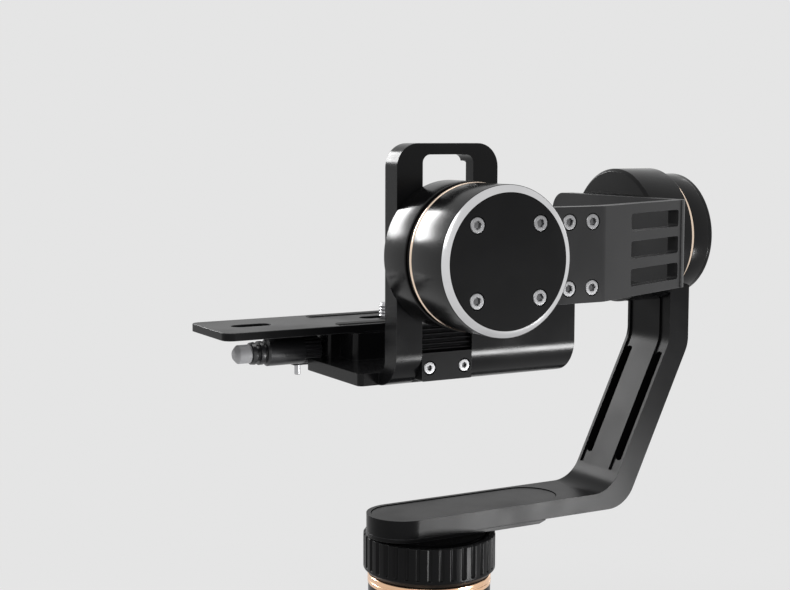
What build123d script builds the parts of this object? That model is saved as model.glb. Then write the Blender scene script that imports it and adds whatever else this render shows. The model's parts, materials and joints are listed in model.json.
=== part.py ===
"""Three-axis handheld gimbal stabilizer: handle, three motors, bent arms and camera bracket.

Frame: +Z up, +Y the way the lens looks, +X to the user's right.  The origin is the mouth
of the tripod thread in the foot of the handle.  The pan axis is the Z axis.  The roll axis
runs along Y and the tilt axis along X, both at AXIS_HEIGHT, which follows from the stack
of handle, pan motor and arm.
"""
import os
from math import cos, pi, radians, sin, sqrt

from build123d import *

os.makedirs("parts", exist_ok=True)

# ---------------------------------------------------------------- driving dimensions (mm)
TILT_AXIS_Y = 21.0         # tilt axis ahead of the pan axis

# Clearances
SLIDE_GAP = 0.15           # between flat sliding faces
TURN_GAP = 0.30            # around a turning knob, collar or cap
FIT_GAP = 0.05             # shaft in bearing
SEAT_GAP = 0.20            # under a knob or cap that turns on a face
ARM_LIFT = 0.6             # arm above the lock collar

# Motors
TILT_MOTOR_R = 26.0
TILT_ROTOR_R = 26.4
TILT_TRIM_R = 26.2         # rose-gold ring at the parting line
TILT_NECK_R = 25.0         # between the ring and the rotor
TILT_BELL_R = 22.6
ROLL_ROTOR_R = 28.2
ROLL_ROTOR_BEVEL = 1.2     # bright chamfer around its front face
ROLL_TRIM_R = 25.9
ROLL_MOTOR_R = 25.8        # housing on the pan arm
PAN_ROTOR_R = 22.5
BELL_BORE_R = 20.3
STATOR_R = 19.6
BOSS_R = 9.0
BEARING_R = 8.0
BEARING_T = 4.0
SHAFT_R = 4.0
WEB_T = 2.0
BOSS_SETBACK = 4.0         # bearing boss behind the face of its rotor
SPIGOT_R = 18.0            # spigots that centre the copper rings

# Tilt motor, stations along X from the outer face inwards
TILT_FACE_X = -87.1
TILT_RING_X = -85.7
TILT_WALL_END_X = -66.4
TILT_TRIM_END_X = -64.9
TILT_ROTOR_X = -62.6
PLATE_OUT_X = -47.5        # outer face of the upright plate
COVER_R = 23.4
COVER_T = 2.0
COVER_EDGE = 0.3           # chamfer round the face cover
BEVEL_SETBACK = 0.1        # bright ring behind the face of the cover
BEVEL_LAND = 0.3           # flat of that ring next to the cover
BEVEL_SEAT_R = 24.6
BEVEL_SEAT_T = 1.3
SHELL_INNER_R = 23.6
SHELL_WEB_DEPTH = 3.7      # behind the ring's seat
FACE_SCREW_PITCH = 25.3    # square pattern on the face
M3_HEAD_R = 2.75
M3_SHANK_R = 1.5
M3_HEX_R = 1.15
M3_SHORT_L = 5.6
M3_LONG_L = 8.4
M25_HEAD_R = 2.3
M25_SHANK_R = 1.25
M25_HEX_R = 1.0

# Roll motor, stations along Y
ROLL_FRONT_Y = -89.6
ROLL_SHELL_END_Y = -109.4
ROLL_HOUSING_Y = -112.4
ROLL_COVER_T = 2.8
REAR_SCREW_R = 18.0        # circle of the rear cover's screws

# Pan arm
ARM_W = 28.4
ARM_UPRIGHT_Y = -110.0     # inner face of the upright
ARM_THICK = 10.2           # upright and sloping stretches
ARM_TOP_DROP = 106.8       # top of the level stretch below the roll axis
ARM_LEVEL_T = 7.2
ARM_BEND_DROP = 44.5       # upper bend, inner face, below the roll axis
ARM_BEND_R = 14.0
ARM_LEVEL_START_Y = -80.0  # where the sloping inner face would meet the level top
ARM_NOSE_Y = 12.6          # centre of the round nose
BASE_COVER_T = 1.6
BASE_COVER_REAR_Y = -47.0
ARM_SCREW_X = 8.0
ARM_SCREW_INSET = 7.0
PANEL_RIM = 1.8
PANEL_T = 1.2
PANEL_REAR_Y = -47.0
SLOT_X = 10.0
SLOT_W = 5.4
SLOT_DEPTH = 6.5
GROOVE_DEPTH = 0.8         # channel that runs through the pockets and up the bend
GROOVE_TOP_DROP = 25.0     # its upper end below the roll axis

# Roll strap
STRAP_H = 34.4
STRAP_T = 5.0
STRAP_OUT_X = -76.0
STRAP_BEND_Y = -27.0
CROSS_BACK_Y = -87.8
STRAP_CORNER_X = -50.0
CROSS_END_X = 34.0
WINDOW_H = 6.6
WINDOW_PITCH = 10.3
WINDOW_START = 21.0
WINDOW_END = 59.0
CROSS_TRAVEL = 9.0         # sideways balance travel, each way
CROSS_CORNER_R = 7.5
STRAP_BEND_R = 1.5
RECESS_START = 19.5
RECESS_END = 61.0
RECESS_DEPTH = 0.4
STRAP_FRONT_Y = 4.0
EAR_T = 4.6
EAR_H = 32.0
EAR_REAR_Y = -25.0
STRAP_SCREW_Y = (-11.8, -21.9)
STRAP_SCREW_Z = 11.8

# Cross clamp on the roll motor: backing plate with a key through the slot of the cross bar
CLAMP_W = 42.0
CLAMP_H = 30.0
CLAMP_CORNER_R = 4.0
CLAMP_SCREW_X = 14.0
CLAMP_SCREW_Z = 10.0
KEY_L = 14.0
KEY_H = 8.0
KEY_DROP = 0.5             # key below the front face of the bar
KNOB_R = 9.0
KNOB_T = 8.0
KNOB_STUD_R = 2.5

# Camera bracket
PLATE_T = 8.5
PLATE_HALF_W = 21.0
PLATE_TOP = 39.4           # above the tilt axis
PLATE_CORNER_R = 8.5
HEEL_REAR_Y = -35.5
HEEL_TOP = -15.0
HEEL_CORNER_R = 6.0
LEG_BOTTOM = -48.0
LEG_T = 4.5
LEG_FRONT_Y = 50.0         # front of the tongue, which starts where the bend ends
LEG_END_X = 38.0
LEG_CORNER_R = 10.0
BEND_R = 13.0
INNER_BEND_R = 5.0
GUIDE_W = 21.0
GUIDE_TOP = 35.4
GUIDE_STEP_W = 27.0        # rebate behind the slot, for the flange of the slider
GUIDE_STEP_T = 3.5
GUIDE_STEP_BELOW = 1.5     # rebate past the slider at the bottom of its travel
GUIDE_STEP_ABOVE = 8.0     # and at the top, where the slider is put in
GUIDE_STEP_CORNER_R = 2.5
SLIDER_H = 20.0
RAISE = 12.0               # height travel of the bracket, up and down
LOWER = 15.0
BLOCK_TOP = -35.5
BLOCK_BOTTOM = -45.8
BLOCK_SCREW_PITCH = 14.6
BLOCK_SCREW_Z = -41.0
RACK_TOP = -24.8
RACK_T = 6.0
RACK_TEETH = 6
LOCK_HEAD_R = 4.0
LOCK_SHANK_R = 2.0
LOCK_HEAD_T = 2.3
LOCK_SCREW_L = 11.5
SLIDER_SCREW_Y = 7.4
SLIDER_SCREW_Z = 6.6
SLIDER_SCREW_L = 12.0
GUSSET_H = 4.0
GUSSET_T = 6.0

# Plate clamp and camera plate
RAIL_X = 14.0              # centre line of the camera plate
RAIL_W = 40.0
RAIL_REAR_Y = -29.0
RAIL_FRONT_Y = 37.0
RAIL_STOP_T = 1.5          # wall that closes the groove at the front
KEEL_TOP_W = 28.0
KEEL_BOTTOM_W = 34.0
KEEL_H = 4.0
KEEL_REAR_Y = -22.0
KEEL_FRONT_Y = 31.0
CAMERA_FACE = -30.0        # top of the camera plate, below the tilt axis
CAMERA_PLATE_T = 3.0
CAMERA_PLATE_FRONT_Y = 89.0
CAMERA_PLATE_CORNER_R = 4.0
CAMERA_PLATE_W = 36.0
PAD_T = 1.0
PAD_W = 5.0
PAD_L = 58.0
PAD_INSET = 5.0            # centre of a pad from the plate's edge
PAD_RECESS = 0.6
PLATE_KNOB_Z = -40.9       # axis of the plate's lock knob, below the tilt axis
PLATE_KNOB_R = 5.3
PLATE_KNOB_Y = 43.0
PLATE_KNOB_L = 22.6
PLATE_KNOB_FLUTES = 20
PLATE_KNOB_FLUTE_R = 0.6
PLATE_KNOB_FLUTE_L = 7.0   # fluted stretch next to the rail
PLATE_KNOB_TAIL = 12.8     # turned neck and soft end beyond the barrel
PLATE_KNOB_TAIL_R = 3.6
LUG_W = 16.0
STOP_PIN_R = 1.2
STOP_PIN_DROP = 4.0
STOP_PIN_X = 22.0
STOP_PIN_INSET = 2.2       # behind the front of the leg
CAMERA_SCREW_R = 3.175     # 1/4 inch
CAMERA_SCREW_NECK_R = 2.6
CAMERA_SCREW_UP = 5.5
CAMERA_SCREW_Y = 12.0
CAMERA_SCREW_HEAD_R = 6.9
CAMERA_SCREW_HEAD_T = 2.3
COIN_SLOT_W = 1.6          # slot across the head
COIN_SLOT_L = 10.0
COIN_SLOT_DEPTH = 1.2
CAMERA_SLOT_L = 24.0
HEAD_SLOT_L = 32.0         # wide recess below, for the head of the screw
FRONT_SLOT_L = 16.0
FRONT_SLOT_SETBACK = 18.0

# Handle
CAP_R = 22.0
CAP_H = 12.0
TUBE_R = 21.0
CELL_R = 13.1
CELL_L = 65.2
CELL_BORE_R = 13.4
CELL_TIP_H = 1.4
CAP_CONTACT_H = 2.2
UPPER_CONTACT_T = 3.4
SKIRT_R = 15.2
SKIRT_H = 8.0
SLEEVE_R = 22.8
SLEEVE_INSET = 8.0         # bare tube at each end of the grip
SLEEVE_GROOVES = 9
RING_H = 3.0
HEAD_BOTTOM_R = 21.6
HEAD_TOP_R = 24.6
HEAD_H = 46.6
PANEL_FLAT_DEPTH = 5.6      # flat for the control pad, below the head's widest radius
PANEL_FLAT_Y = PANEL_FLAT_DEPTH - HEAD_TOP_R
COPPER_H = 4.0
COLLAR_R = 26.5
COLLAR_BORE_R = 24.3
COLLAR_H = 16.0
COLLAR_FLUTES = 36
FLUTE_DEPTH = 0.7
COLLAR_CHAMFER = 2.2
TRIPOD_R = 3.2
TRIPOD_DEPTH = 10.0

# Controls on the head
PANEL_W = 19.0
PANEL_MARGIN = 6.5         # panel beyond the outermost controls
PANEL_PLATE_T = 1.4
PANEL_CORNER_R = 4.0
POCKET_DEPTH = 9.0
BOARD_T = 1.6
SWITCH_H = 2.4             # dome switches on the board
STICK_DROP = 15.6          # below the top of the head
MODE_DROP = 28.6
POWER_DROP = 38.6
STICK_HOLE_R = 4.6
BUTTON_R = 3.2
LAMP_R = 0.7
LAMP_PITCH = 2.6
USB_W = 9.4
USB_H = 3.6
USB_DEPTH = 7.0

# ---------------------------------------------------------------- worked-out places
# The stack from the foot up to the roll and tilt axes.
CELL_BOTTOM_Z = CAP_H + CAP_CONTACT_H
CONTACT_Z = CELL_BOTTOM_Z + 2 * CELL_L
TUBE_TOP = CONTACT_Z + UPPER_CONTACT_T + WEB_T
HEAD_BOTTOM_Z = TUBE_TOP + RING_H
HEAD_TOP_Z = HEAD_BOTTOM_Z + HEAD_H
COPPER_TOP_Z = HEAD_TOP_Z + COPPER_H
COLLAR_BOTTOM_Z = COPPER_TOP_Z + SEAT_GAP
COLLAR_TOP_Z = COLLAR_BOTTOM_Z + COLLAR_H
BASE_COVER_Z = COLLAR_TOP_Z + ARM_LIFT
ARM_BOTTOM_Z = BASE_COVER_Z + BASE_COVER_T
ARM_TOP_Z = ARM_BOTTOM_Z + ARM_LEVEL_T
AXIS_HEIGHT = ARM_TOP_Z + ARM_TOP_DROP

BASE_FLOOR_Z = COPPER_TOP_Z + WEB_T
SLEEVE_BOTTOM = CAP_H + SLEEVE_INSET
SLEEVE_TOP = TUBE_TOP - SLEEVE_INSET
SLEEVE_L = SLEEVE_TOP - SLEEVE_BOTTOM
STICK_Z = HEAD_TOP_Z - STICK_DROP
MODE_Z = HEAD_TOP_Z - MODE_DROP
POWER_Z = HEAD_TOP_Z - POWER_DROP
PANEL_H = STICK_Z - POWER_Z + 2 * PANEL_MARGIN
PANEL_CENTRE_Z = (STICK_Z + POWER_Z) / 2
BOARD_Y = PANEL_FLAT_Y + POCKET_DEPTH - BOARD_T   # face of the board
STRAP_HALF_H = STRAP_H / 2
CROSS_FRONT_Y = CROSS_BACK_Y + STRAP_T
PLATE_IN_X = PLATE_OUT_X + PLATE_T
LEG_TOP = LEG_BOTTOM + LEG_T
BEND_END_X = PLATE_OUT_X + BEND_R
CAMERA_PLATE_BOTTOM = CAMERA_FACE - CAMERA_PLATE_T
KEEL_BOTTOM = CAMERA_PLATE_BOTTOM - KEEL_H

PAN = Plane(origin=(0, 0, 0), x_dir=(0, 0, 1), z_dir=(0, 1, 0))
ROLL = Plane(origin=(0, 0, AXIS_HEIGHT), x_dir=(0, 1, 0), z_dir=(1, 0, 0))
TILT = Plane(origin=(0, TILT_AXIS_Y, AXIS_HEIGHT), x_dir=(1, 0, 0), z_dir=(0, -1, 0))


def turned(plane, *outline):
    """A solid of revolution: outline points are (station along the axis, radius)."""
    with BuildPart() as piece:
        with BuildSketch(plane):
            with BuildLine():
                Polyline(*outline, close=True)
            make_face()
        revolve(axis=Axis(plane.origin, plane.x_dir))
    return piece


def tube(plane, start, end, outer, inner):
    """A plain ring or sleeve between two stations on an axis."""
    return turned(plane, (start, inner), (end, inner), (end, outer), (start, outer))


def across(x):
    """Plane square to the tilt axis at x: local x is +Y, local y is +Z."""
    return Plane(origin=(x, TILT_AXIS_Y, AXIS_HEIGHT), x_dir=(0, 1, 0), z_dir=(1, 0, 0))


def facing_back(y):
    """Plane square to the roll axis at y: local x is +X, local y is +Z, normal is -Y."""
    return Plane(origin=(0, y, AXIS_HEIGHT), x_dir=(1, 0, 0), z_dir=(0, -1, 0))


def level(height):
    """Horizontal plane at a height above the tripod thread."""
    return Plane.XY.offset(height)


def finish(piece, name):
    """Label one sub-part and write it as its own STEP file."""
    piece.part.label = name
    export_step(piece.part, "parts/" + name + ".step")


def hex_screws(places, length, head_r=M3_HEAD_R, shank_r=M3_SHANK_R, hex_r=M3_HEX_R):
    """Countersunk hex screws: each place is a plane whose normal points out of the head.

    Without a hex_r it gives the plain shape that the screws' seats and holes are cut with.
    """
    head_h = head_r - shank_r
    with BuildPart() as screws:
        for place in places:
            with BuildSketch(place):
                Circle(head_r)
            with BuildSketch(place.offset(-head_h)):
                Circle(shank_r)
            loft()
            with BuildSketch(place.offset(-head_h)):
                Circle(shank_r)
            extrude(amount=-(length - head_h))
            if hex_r:
                with BuildSketch(place):
                    RegularPolygon(hex_r, 6)
                extrude(amount=-head_h * 1.1, mode=Mode.SUBTRACT)
    return screws


def bearings(plane, stations):
    """Ball bearings as closed rings with a groove between their races, one per station."""
    with BuildPart() as rings:
        for station in stations:
            outline = [
                (station, SHAFT_R + FIT_GAP), (station + BEARING_T, SHAFT_R + FIT_GAP),
                (station + BEARING_T, BEARING_R - 1.6), (station + BEARING_T - 0.4, BEARING_R - 1.6),
                (station + BEARING_T - 0.4, BEARING_R - 1.0), (station + BEARING_T, BEARING_R - 1.0),
                (station + BEARING_T, BEARING_R), (station, BEARING_R),
            ]
            with BuildSketch(plane):
                with BuildLine():
                    Polyline(*outline, close=True)
                make_face()
            revolve(axis=Axis(plane.origin, plane.x_dir))
    return rings


def stator(plane, start, end, teeth=12):
    """Laminated stator: a hub, a ring of T-shaped teeth and the slots between them."""
    face = Plane(
        origin=plane.origin + plane.x_dir * start, x_dir=plane.z_dir, z_dir=plane.x_dir
    )
    tip = 2 * pi * STATOR_R / teeth
    with BuildPart() as core:
        with BuildSketch(face):
            Circle(BOSS_R + 4.0)
            with PolarLocations((BOSS_R + STATOR_R) / 2, teeth):
                Rectangle(STATOR_R - BOSS_R - 1.5, 2.4)
            with PolarLocations(STATOR_R - 1.4, teeth):
                Rectangle(2.2, tip - 1.6)
            Circle(BOSS_R, mode=Mode.SUBTRACT)
        extrude(amount=end - start)
    return core


# ================================================================ handle
# Tube that holds the two cells, closed at the top and open at the foot for the cap.
with BuildPart() as handle_tube:
    with BuildSketch(level(CAP_H + SEAT_GAP)):
        Circle(TUBE_R)
    extrude(amount=TUBE_TOP - CAP_H - SEAT_GAP)
    with BuildSketch(level(0)):
        Circle(CELL_BORE_R)
    extrude(amount=TUBE_TOP - WEB_T, mode=Mode.SUBTRACT)
    with BuildSketch(level(0)):
        Circle(SKIRT_R + FIT_GAP)
    extrude(amount=CAP_H + SKIRT_H + 1.0, mode=Mode.SUBTRACT)
finish(handle_tube, "handle_tube")

# Soft grip: rounded ends and evenly spaced finger grooves.
groove_pitch = SLEEVE_L / (SLEEVE_GROOVES + 1)
with BuildPart() as grip_sleeve:
    with BuildSketch(level(SLEEVE_BOTTOM)):
        Circle(SLEEVE_R)
    extrude(amount=SLEEVE_L)
    fillet(grip_sleeve.edges().filter_by(GeomType.CIRCLE), SLEEVE_R - TUBE_R - 0.4)
    with BuildSketch(level(SLEEVE_BOTTOM)):
        Circle(TUBE_R)
    extrude(amount=SLEEVE_L, mode=Mode.SUBTRACT)
    with BuildSketch(PAN):
        for index in range(SLEEVE_GROOVES):
            with Locations((SLEEVE_BOTTOM + groove_pitch * (index + 1), SLEEVE_R + 0.6)):
                Circle(1.6)
    revolve(axis=Axis.Z, mode=Mode.SUBTRACT)
finish(grip_sleeve, "grip_sleeve")

# Head: swells towards the pan motor, flat on the user's side, pocketed for the controls.
with BuildPart() as handle_head:
    with BuildSketch(PAN):
        with BuildLine():
            Polyline(
                (HEAD_BOTTOM_Z, HEAD_BOTTOM_R), (HEAD_BOTTOM_Z, SPIGOT_R), (TUBE_TOP, SPIGOT_R),
                (TUBE_TOP, 0), (COPPER_TOP_Z, 0), (COPPER_TOP_Z, SPIGOT_R),
                (HEAD_TOP_Z, SPIGOT_R), (HEAD_TOP_Z, HEAD_TOP_R),
            )
            Spline(
                (HEAD_TOP_Z, HEAD_TOP_R), (HEAD_BOTTOM_Z, HEAD_BOTTOM_R),
                tangents=[(-1, 0), (-1, -0.05)],
            )
        make_face()
    revolve(axis=Axis.Z)
    with BuildSketch(Plane.XZ.offset(-PANEL_FLAT_Y)):
        with Locations((0, PANEL_CENTRE_Z)):
            Rectangle(3 * PANEL_W, PANEL_H + PANEL_CORNER_R)
    extrude(amount=HEAD_TOP_R, mode=Mode.SUBTRACT)
    with BuildSketch(Plane.XZ.offset(-PANEL_FLAT_Y)):
        with Locations((0, PANEL_CENTRE_Z)):
            RectangleRounded(PANEL_W, PANEL_H, PANEL_CORNER_R)
    extrude(amount=-POCKET_DEPTH, mode=Mode.SUBTRACT)
    with BuildSketch(Plane.YZ.offset(HEAD_TOP_R)):
        with Locations((0, MODE_Z)):
            RectangleRounded(USB_W, USB_H, USB_H / 2.1)
    extrude(amount=-USB_DEPTH, mode=Mode.SUBTRACT)
finish(handle_head, "handle_head")

finish(tube(PAN, HEAD_TOP_Z, COPPER_TOP_Z, HEAD_TOP_R + 0.2, SPIGOT_R), "copper_ring_top")
finish(tube(PAN, TUBE_TOP, HEAD_BOTTOM_Z, CAP_R, SPIGOT_R), "copper_ring_middle")

# Two cells end to end, each with its raised positive cap.
with BuildPart() as battery_cells:
    for index in range(2):
        foot = CELL_BOTTOM_Z + index * CELL_L
        with BuildSketch(level(foot)):
            Circle(CELL_R)
        extrude(amount=CELL_L - CELL_TIP_H)
        with BuildSketch(level(foot + CELL_L - CELL_TIP_H)):
            Circle(CELL_R / 2.4)
        extrude(amount=CELL_TIP_H - 2 * FIT_GAP)
finish(battery_cells, "battery_cells")
finish(tube(PAN, CONTACT_Z, TUBE_TOP - WEB_T, CELL_BORE_R, SHAFT_R), "upper_contact")

# Control pad: a flush plate with holes for the stick, two buttons and four lamps.
lamp_z = (STICK_Z - STICK_HOLE_R + MODE_Z + BUTTON_R) / 2
with BuildPart() as control_pad:
    with BuildSketch(Plane.XZ.offset(-PANEL_FLAT_Y)):
        with Locations((0, PANEL_CENTRE_Z)):
            RectangleRounded(PANEL_W, PANEL_H, PANEL_CORNER_R)
        with Locations((0, STICK_Z)):
            Circle(STICK_HOLE_R, mode=Mode.SUBTRACT)
        with Locations((0, MODE_Z), (0, POWER_Z)):
            Circle(BUTTON_R + FIT_GAP, mode=Mode.SUBTRACT)
        with Locations((0, lamp_z)):
            with GridLocations(LAMP_PITCH, 0, 4, 1):
                Circle(LAMP_R, mode=Mode.SUBTRACT)
    extrude(amount=-PANEL_PLATE_T)
finish(control_pad, "control_pad")

with BuildPart() as status_lamps:
    with BuildSketch(Plane.XZ.offset(-BOARD_Y)):
        with Locations((0, lamp_z)):
            with GridLocations(LAMP_PITCH, 0, 4, 1):
                Circle(LAMP_R - FIT_GAP)
    extrude(amount=POCKET_DEPTH - BOARD_T)
finish(status_lamps, "status_lamps")

# Board on the floor of the pocket, with a dome switch under each button.
with BuildPart() as main_board:
    with BuildSketch(Plane.XZ.offset(-BOARD_Y - BOARD_T)):
        with Locations((0, PANEL_CENTRE_Z)):
            RectangleRounded(PANEL_W, PANEL_H, PANEL_CORNER_R)
    extrude(amount=BOARD_T)
    with BuildSketch(Plane.XZ.offset(-BOARD_Y)):
        with Locations((0, MODE_Z), (0, POWER_Z)):
            Rectangle(5.0, 5.0)
    extrude(amount=SWITCH_H)
    with BuildSketch(Plane.XZ.offset(-BOARD_Y)):
        with Locations((0, STICK_Z)):
            Circle(STICK_HOLE_R + 0.9)
            Circle(STICK_HOLE_R, mode=Mode.SUBTRACT)
    extrude(amount=SWITCH_H + 0.6)
finish(main_board, "main_board")

with BuildPart() as usb_socket:
    with BuildSketch(Plane.YZ.offset(HEAD_TOP_R - USB_DEPTH)):
        with Locations((0, MODE_Z)):
            RectangleRounded(USB_W - 0.2, USB_H - 0.2, (USB_H - 0.2) / 2.1)
    extrude(amount=USB_DEPTH * 0.8)
    with BuildSketch(Plane.YZ.offset(HEAD_TOP_R - USB_DEPTH * 0.2)):
        with Locations((0, MODE_Z)):
            RectangleRounded(USB_W - 1.0, USB_H - 1.0, (USB_H - 1.0) / 2.1)
            RectangleRounded(USB_W * 0.7, USB_H * 0.22, USB_H * 0.08, mode=Mode.SUBTRACT)
    extrude(amount=-USB_DEPTH * 0.7, mode=Mode.SUBTRACT)
finish(usb_socket, "usb_socket")

# Joystick: a yoke that rocks up and down, and a stick that rocks sideways in it.
pivot_y = PANEL_FLAT_Y + 5.6
with BuildPart() as joystick_yoke:
    with BuildSketch(Plane.XZ.offset(-pivot_y - 0.8)):
        with Locations((0, STICK_Z)):
            Rectangle(6.2, 6.2)
            Rectangle(4.6, 4.6, mode=Mode.SUBTRACT)
    extrude(amount=1.6)
finish(joystick_yoke, "joystick_yoke")

with BuildPart() as joystick:
    with BuildSketch(Plane.XZ.offset(-pivot_y - 1.0)):
        with Locations((0, STICK_Z)):
            Circle(1.5)
    extrude(amount=9.4)
    with BuildSketch(Plane.YZ):
        with BuildLine():
            Polyline(
                (PANEL_FLAT_Y - 2.4, STICK_Z), (PANEL_FLAT_Y - 2.4, STICK_Z + 4.2),
                (PANEL_FLAT_Y - 4.4, STICK_Z + 4.8), (PANEL_FLAT_Y - 5.0, STICK_Z + 4.0),
                (PANEL_FLAT_Y - 4.2, STICK_Z), close=True,
            )
        make_face()
    revolve(axis=Axis((0, 0, STICK_Z), (0, 1, 0)))
    with BuildSketch(Plane.XZ.offset(-pivot_y - 0.6)):
        with Locations((0, STICK_Z)):
            Rectangle(3.0, 4.2)
    extrude(amount=1.2)
finish(joystick, "joystick")


def button(height, crown):
    """Round push button with a retaining flange behind the pad and a domed or flat crown."""
    face_y = PANEL_FLAT_Y - 1.2
    axis_plane = Plane(origin=(0, 0, height), x_dir=(0, 1, 0), z_dir=(1, 0, 0))
    return turned(
        axis_plane,
        (PANEL_FLAT_Y + 4.0, 0), (PANEL_FLAT_Y + 4.0, 1.4), (PANEL_FLAT_Y + 2.6, 1.4),
        (PANEL_FLAT_Y + 2.6, BUTTON_R + 0.8), (PANEL_FLAT_Y + 1.6, BUTTON_R + 0.8),
        (PANEL_FLAT_Y + 1.6, BUTTON_R), (face_y + 0.4, BUTTON_R), (face_y, BUTTON_R - 0.4),
        (face_y, 1.4), (face_y + crown, 0),
    )


finish(button(MODE_Z, 0.3), "mode_button")
finish(button(POWER_Z, -0.3), "power_button")

# Pan motor base: cup with a bearing boss, held by the lock collar.
finish(
    turned(
        PAN,
        (COPPER_TOP_Z, SHAFT_R + 0.5), (COPPER_TOP_Z, COLLAR_BORE_R - TURN_GAP),
        (COLLAR_TOP_Z - 0.5, COLLAR_BORE_R - TURN_GAP), (COLLAR_TOP_Z - 0.5, PAN_ROTOR_R + 0.4),
        (BASE_FLOOR_Z, PAN_ROTOR_R + 0.4), (BASE_FLOOR_Z, BOSS_R), (COLLAR_TOP_Z - 3.0, BOSS_R),
        (COLLAR_TOP_Z - 3.0, BEARING_R), (BASE_FLOOR_Z, BEARING_R),
        (BASE_FLOOR_Z, SHAFT_R + 0.5),
    ),
    "pan_motor_base",
)
finish(stator(PAN, BASE_FLOOR_Z + 1.0, COLLAR_TOP_Z - 4.0), "pan_stator")
finish(bearings(PAN, (BASE_FLOOR_Z, COLLAR_TOP_Z - 3.0 - BEARING_T)), "pan_bearings")

# Lock collar: fluted ring with a chamfered foot.
with BuildPart() as lock_collar:
    with BuildSketch(level(COLLAR_BOTTOM_Z)):
        Circle(COLLAR_R)
    extrude(amount=COLLAR_H)
    with BuildSketch(level(COLLAR_BOTTOM_Z + COLLAR_CHAMFER + 0.8)):
        with PolarLocations(COLLAR_R + 1.0 - FLUTE_DEPTH, COLLAR_FLUTES):
            Circle(1.0)
    extrude(amount=COLLAR_H, mode=Mode.SUBTRACT)
    chamfer(lock_collar.faces().sort_by(Axis.Z)[0].edges(), COLLAR_CHAMFER)
    with BuildSketch(level(COLLAR_BOTTOM_Z)):
        Circle(COLLAR_BORE_R)
    extrude(amount=COLLAR_H, mode=Mode.SUBTRACT)
finish(lock_collar, "lock_collar")

# ---------------------------------------------------------------- battery cap
with BuildPart() as battery_cap:
    with BuildSketch(level(0)):
        Circle(CAP_R)
    extrude(amount=CAP_H)
    chamfer(battery_cap.edges().sort_by(Axis.Z)[0], 1.4)
    with BuildSketch(level(3.6)):
        with PolarLocations(CAP_R + 0.6, 30):
            Circle(1.2)
    extrude(amount=4.8, mode=Mode.SUBTRACT)
    with BuildSketch(level(CAP_H)):
        Circle(SKIRT_R)
        Circle(CELL_BORE_R, mode=Mode.SUBTRACT)
    extrude(amount=SKIRT_H)
    with BuildSketch(level(0)):
        Circle(6.0)
    extrude(amount=TRIPOD_DEPTH, mode=Mode.SUBTRACT)
finish(battery_cap, "battery_cap")
finish(tube(PAN, 0, TRIPOD_DEPTH, 6.0, TRIPOD_R), "tripod_insert")
finish(
    turned(
        PAN, (CAP_H, 0), (CAP_H, 9.0), (CAP_H + 1.0, 9.0), (CAP_H + 1.0, 4.0),
        (CELL_BOTTOM_Z - SEAT_GAP, 3.0), (CELL_BOTTOM_Z - SEAT_GAP, 0),
    ),
    "cap_contact",
)

# ================================================================ pan arm
# Rotor cup of the pan motor; the arm's base cover is its lid.
finish(
    turned(
        PAN,
        (BASE_COVER_Z - 2.6, SHAFT_R), (BASE_COVER_Z - 2.6, BELL_BORE_R),
        (BASE_FLOOR_Z + 1.0, BELL_BORE_R), (BASE_FLOOR_Z + 1.0, PAN_ROTOR_R - 0.2),
        (BASE_COVER_Z - 2.6, PAN_ROTOR_R), (BASE_COVER_Z, PAN_ROTOR_R), (BASE_COVER_Z, SHAFT_R),
    ),
    "pan_rotor",
)
finish(tube(PAN, COPPER_TOP_Z + 0.3, ARM_BOTTOM_Z, SHAFT_R, 1.5), "pan_shaft")

# Side view of the arm, in (Y, Z) below the roll axis: upright, slope, level.
upright_in_y = ARM_UPRIGHT_Y
upright_out_y = upright_in_y - ARM_THICK
slope = (ARM_LEVEL_START_Y - upright_in_y, ARM_BEND_DROP - ARM_TOP_DROP)
slope_length = sqrt(slope[0] ** 2 + slope[1] ** 2)
slope_run = slope[0] / slope_length
slope_fall = -slope[1] / slope_length
groove_end = (
    upright_in_y + 0.94 * slope[0], -ARM_BEND_DROP + 0.94 * slope[1],
)
# The outer slope lies one thickness outside the inner one.
out_bend_drop = ARM_BEND_DROP + ARM_THICK * (1 - slope_fall) / slope_run
out_level_y = upright_out_y + (ARM_TOP_DROP + ARM_LEVEL_T - out_bend_drop) * slope_run / slope_fall
nose_r = ARM_W / 2
nose_end_y = ARM_NOSE_Y + nose_r
rear_cover_y = upright_out_y - ROLL_COVER_T
arm_screw_places = [
    Plane(origin=(x, y, BASE_COVER_Z), x_dir=(1, 0, 0), z_dir=(0, 0, -1))
    for x in (-ARM_SCREW_X, ARM_SCREW_X)
    for y in (BASE_COVER_REAR_Y + ARM_SCREW_INSET, BASE_COVER_REAR_Y + 2.4 * ARM_SCREW_INSET)
]
rear_screw_places = [
    Plane(
        origin=(
            REAR_SCREW_R * cos(radians(angle)), rear_cover_y,
            AXIS_HEIGHT + REAR_SCREW_R * sin(radians(angle)),
        ),
        x_dir=(1, 0, 0), z_dir=(0, -1, 0),
    )
    for angle in (45, 135, 225, 315)
]
arm_screws = hex_screws(arm_screw_places + rear_screw_places, M3_SHORT_L)
arm_screw_seats = hex_screws(arm_screw_places + rear_screw_places, M3_SHORT_L, hex_r=0)
finish(arm_screws, "arm_screws")
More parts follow.
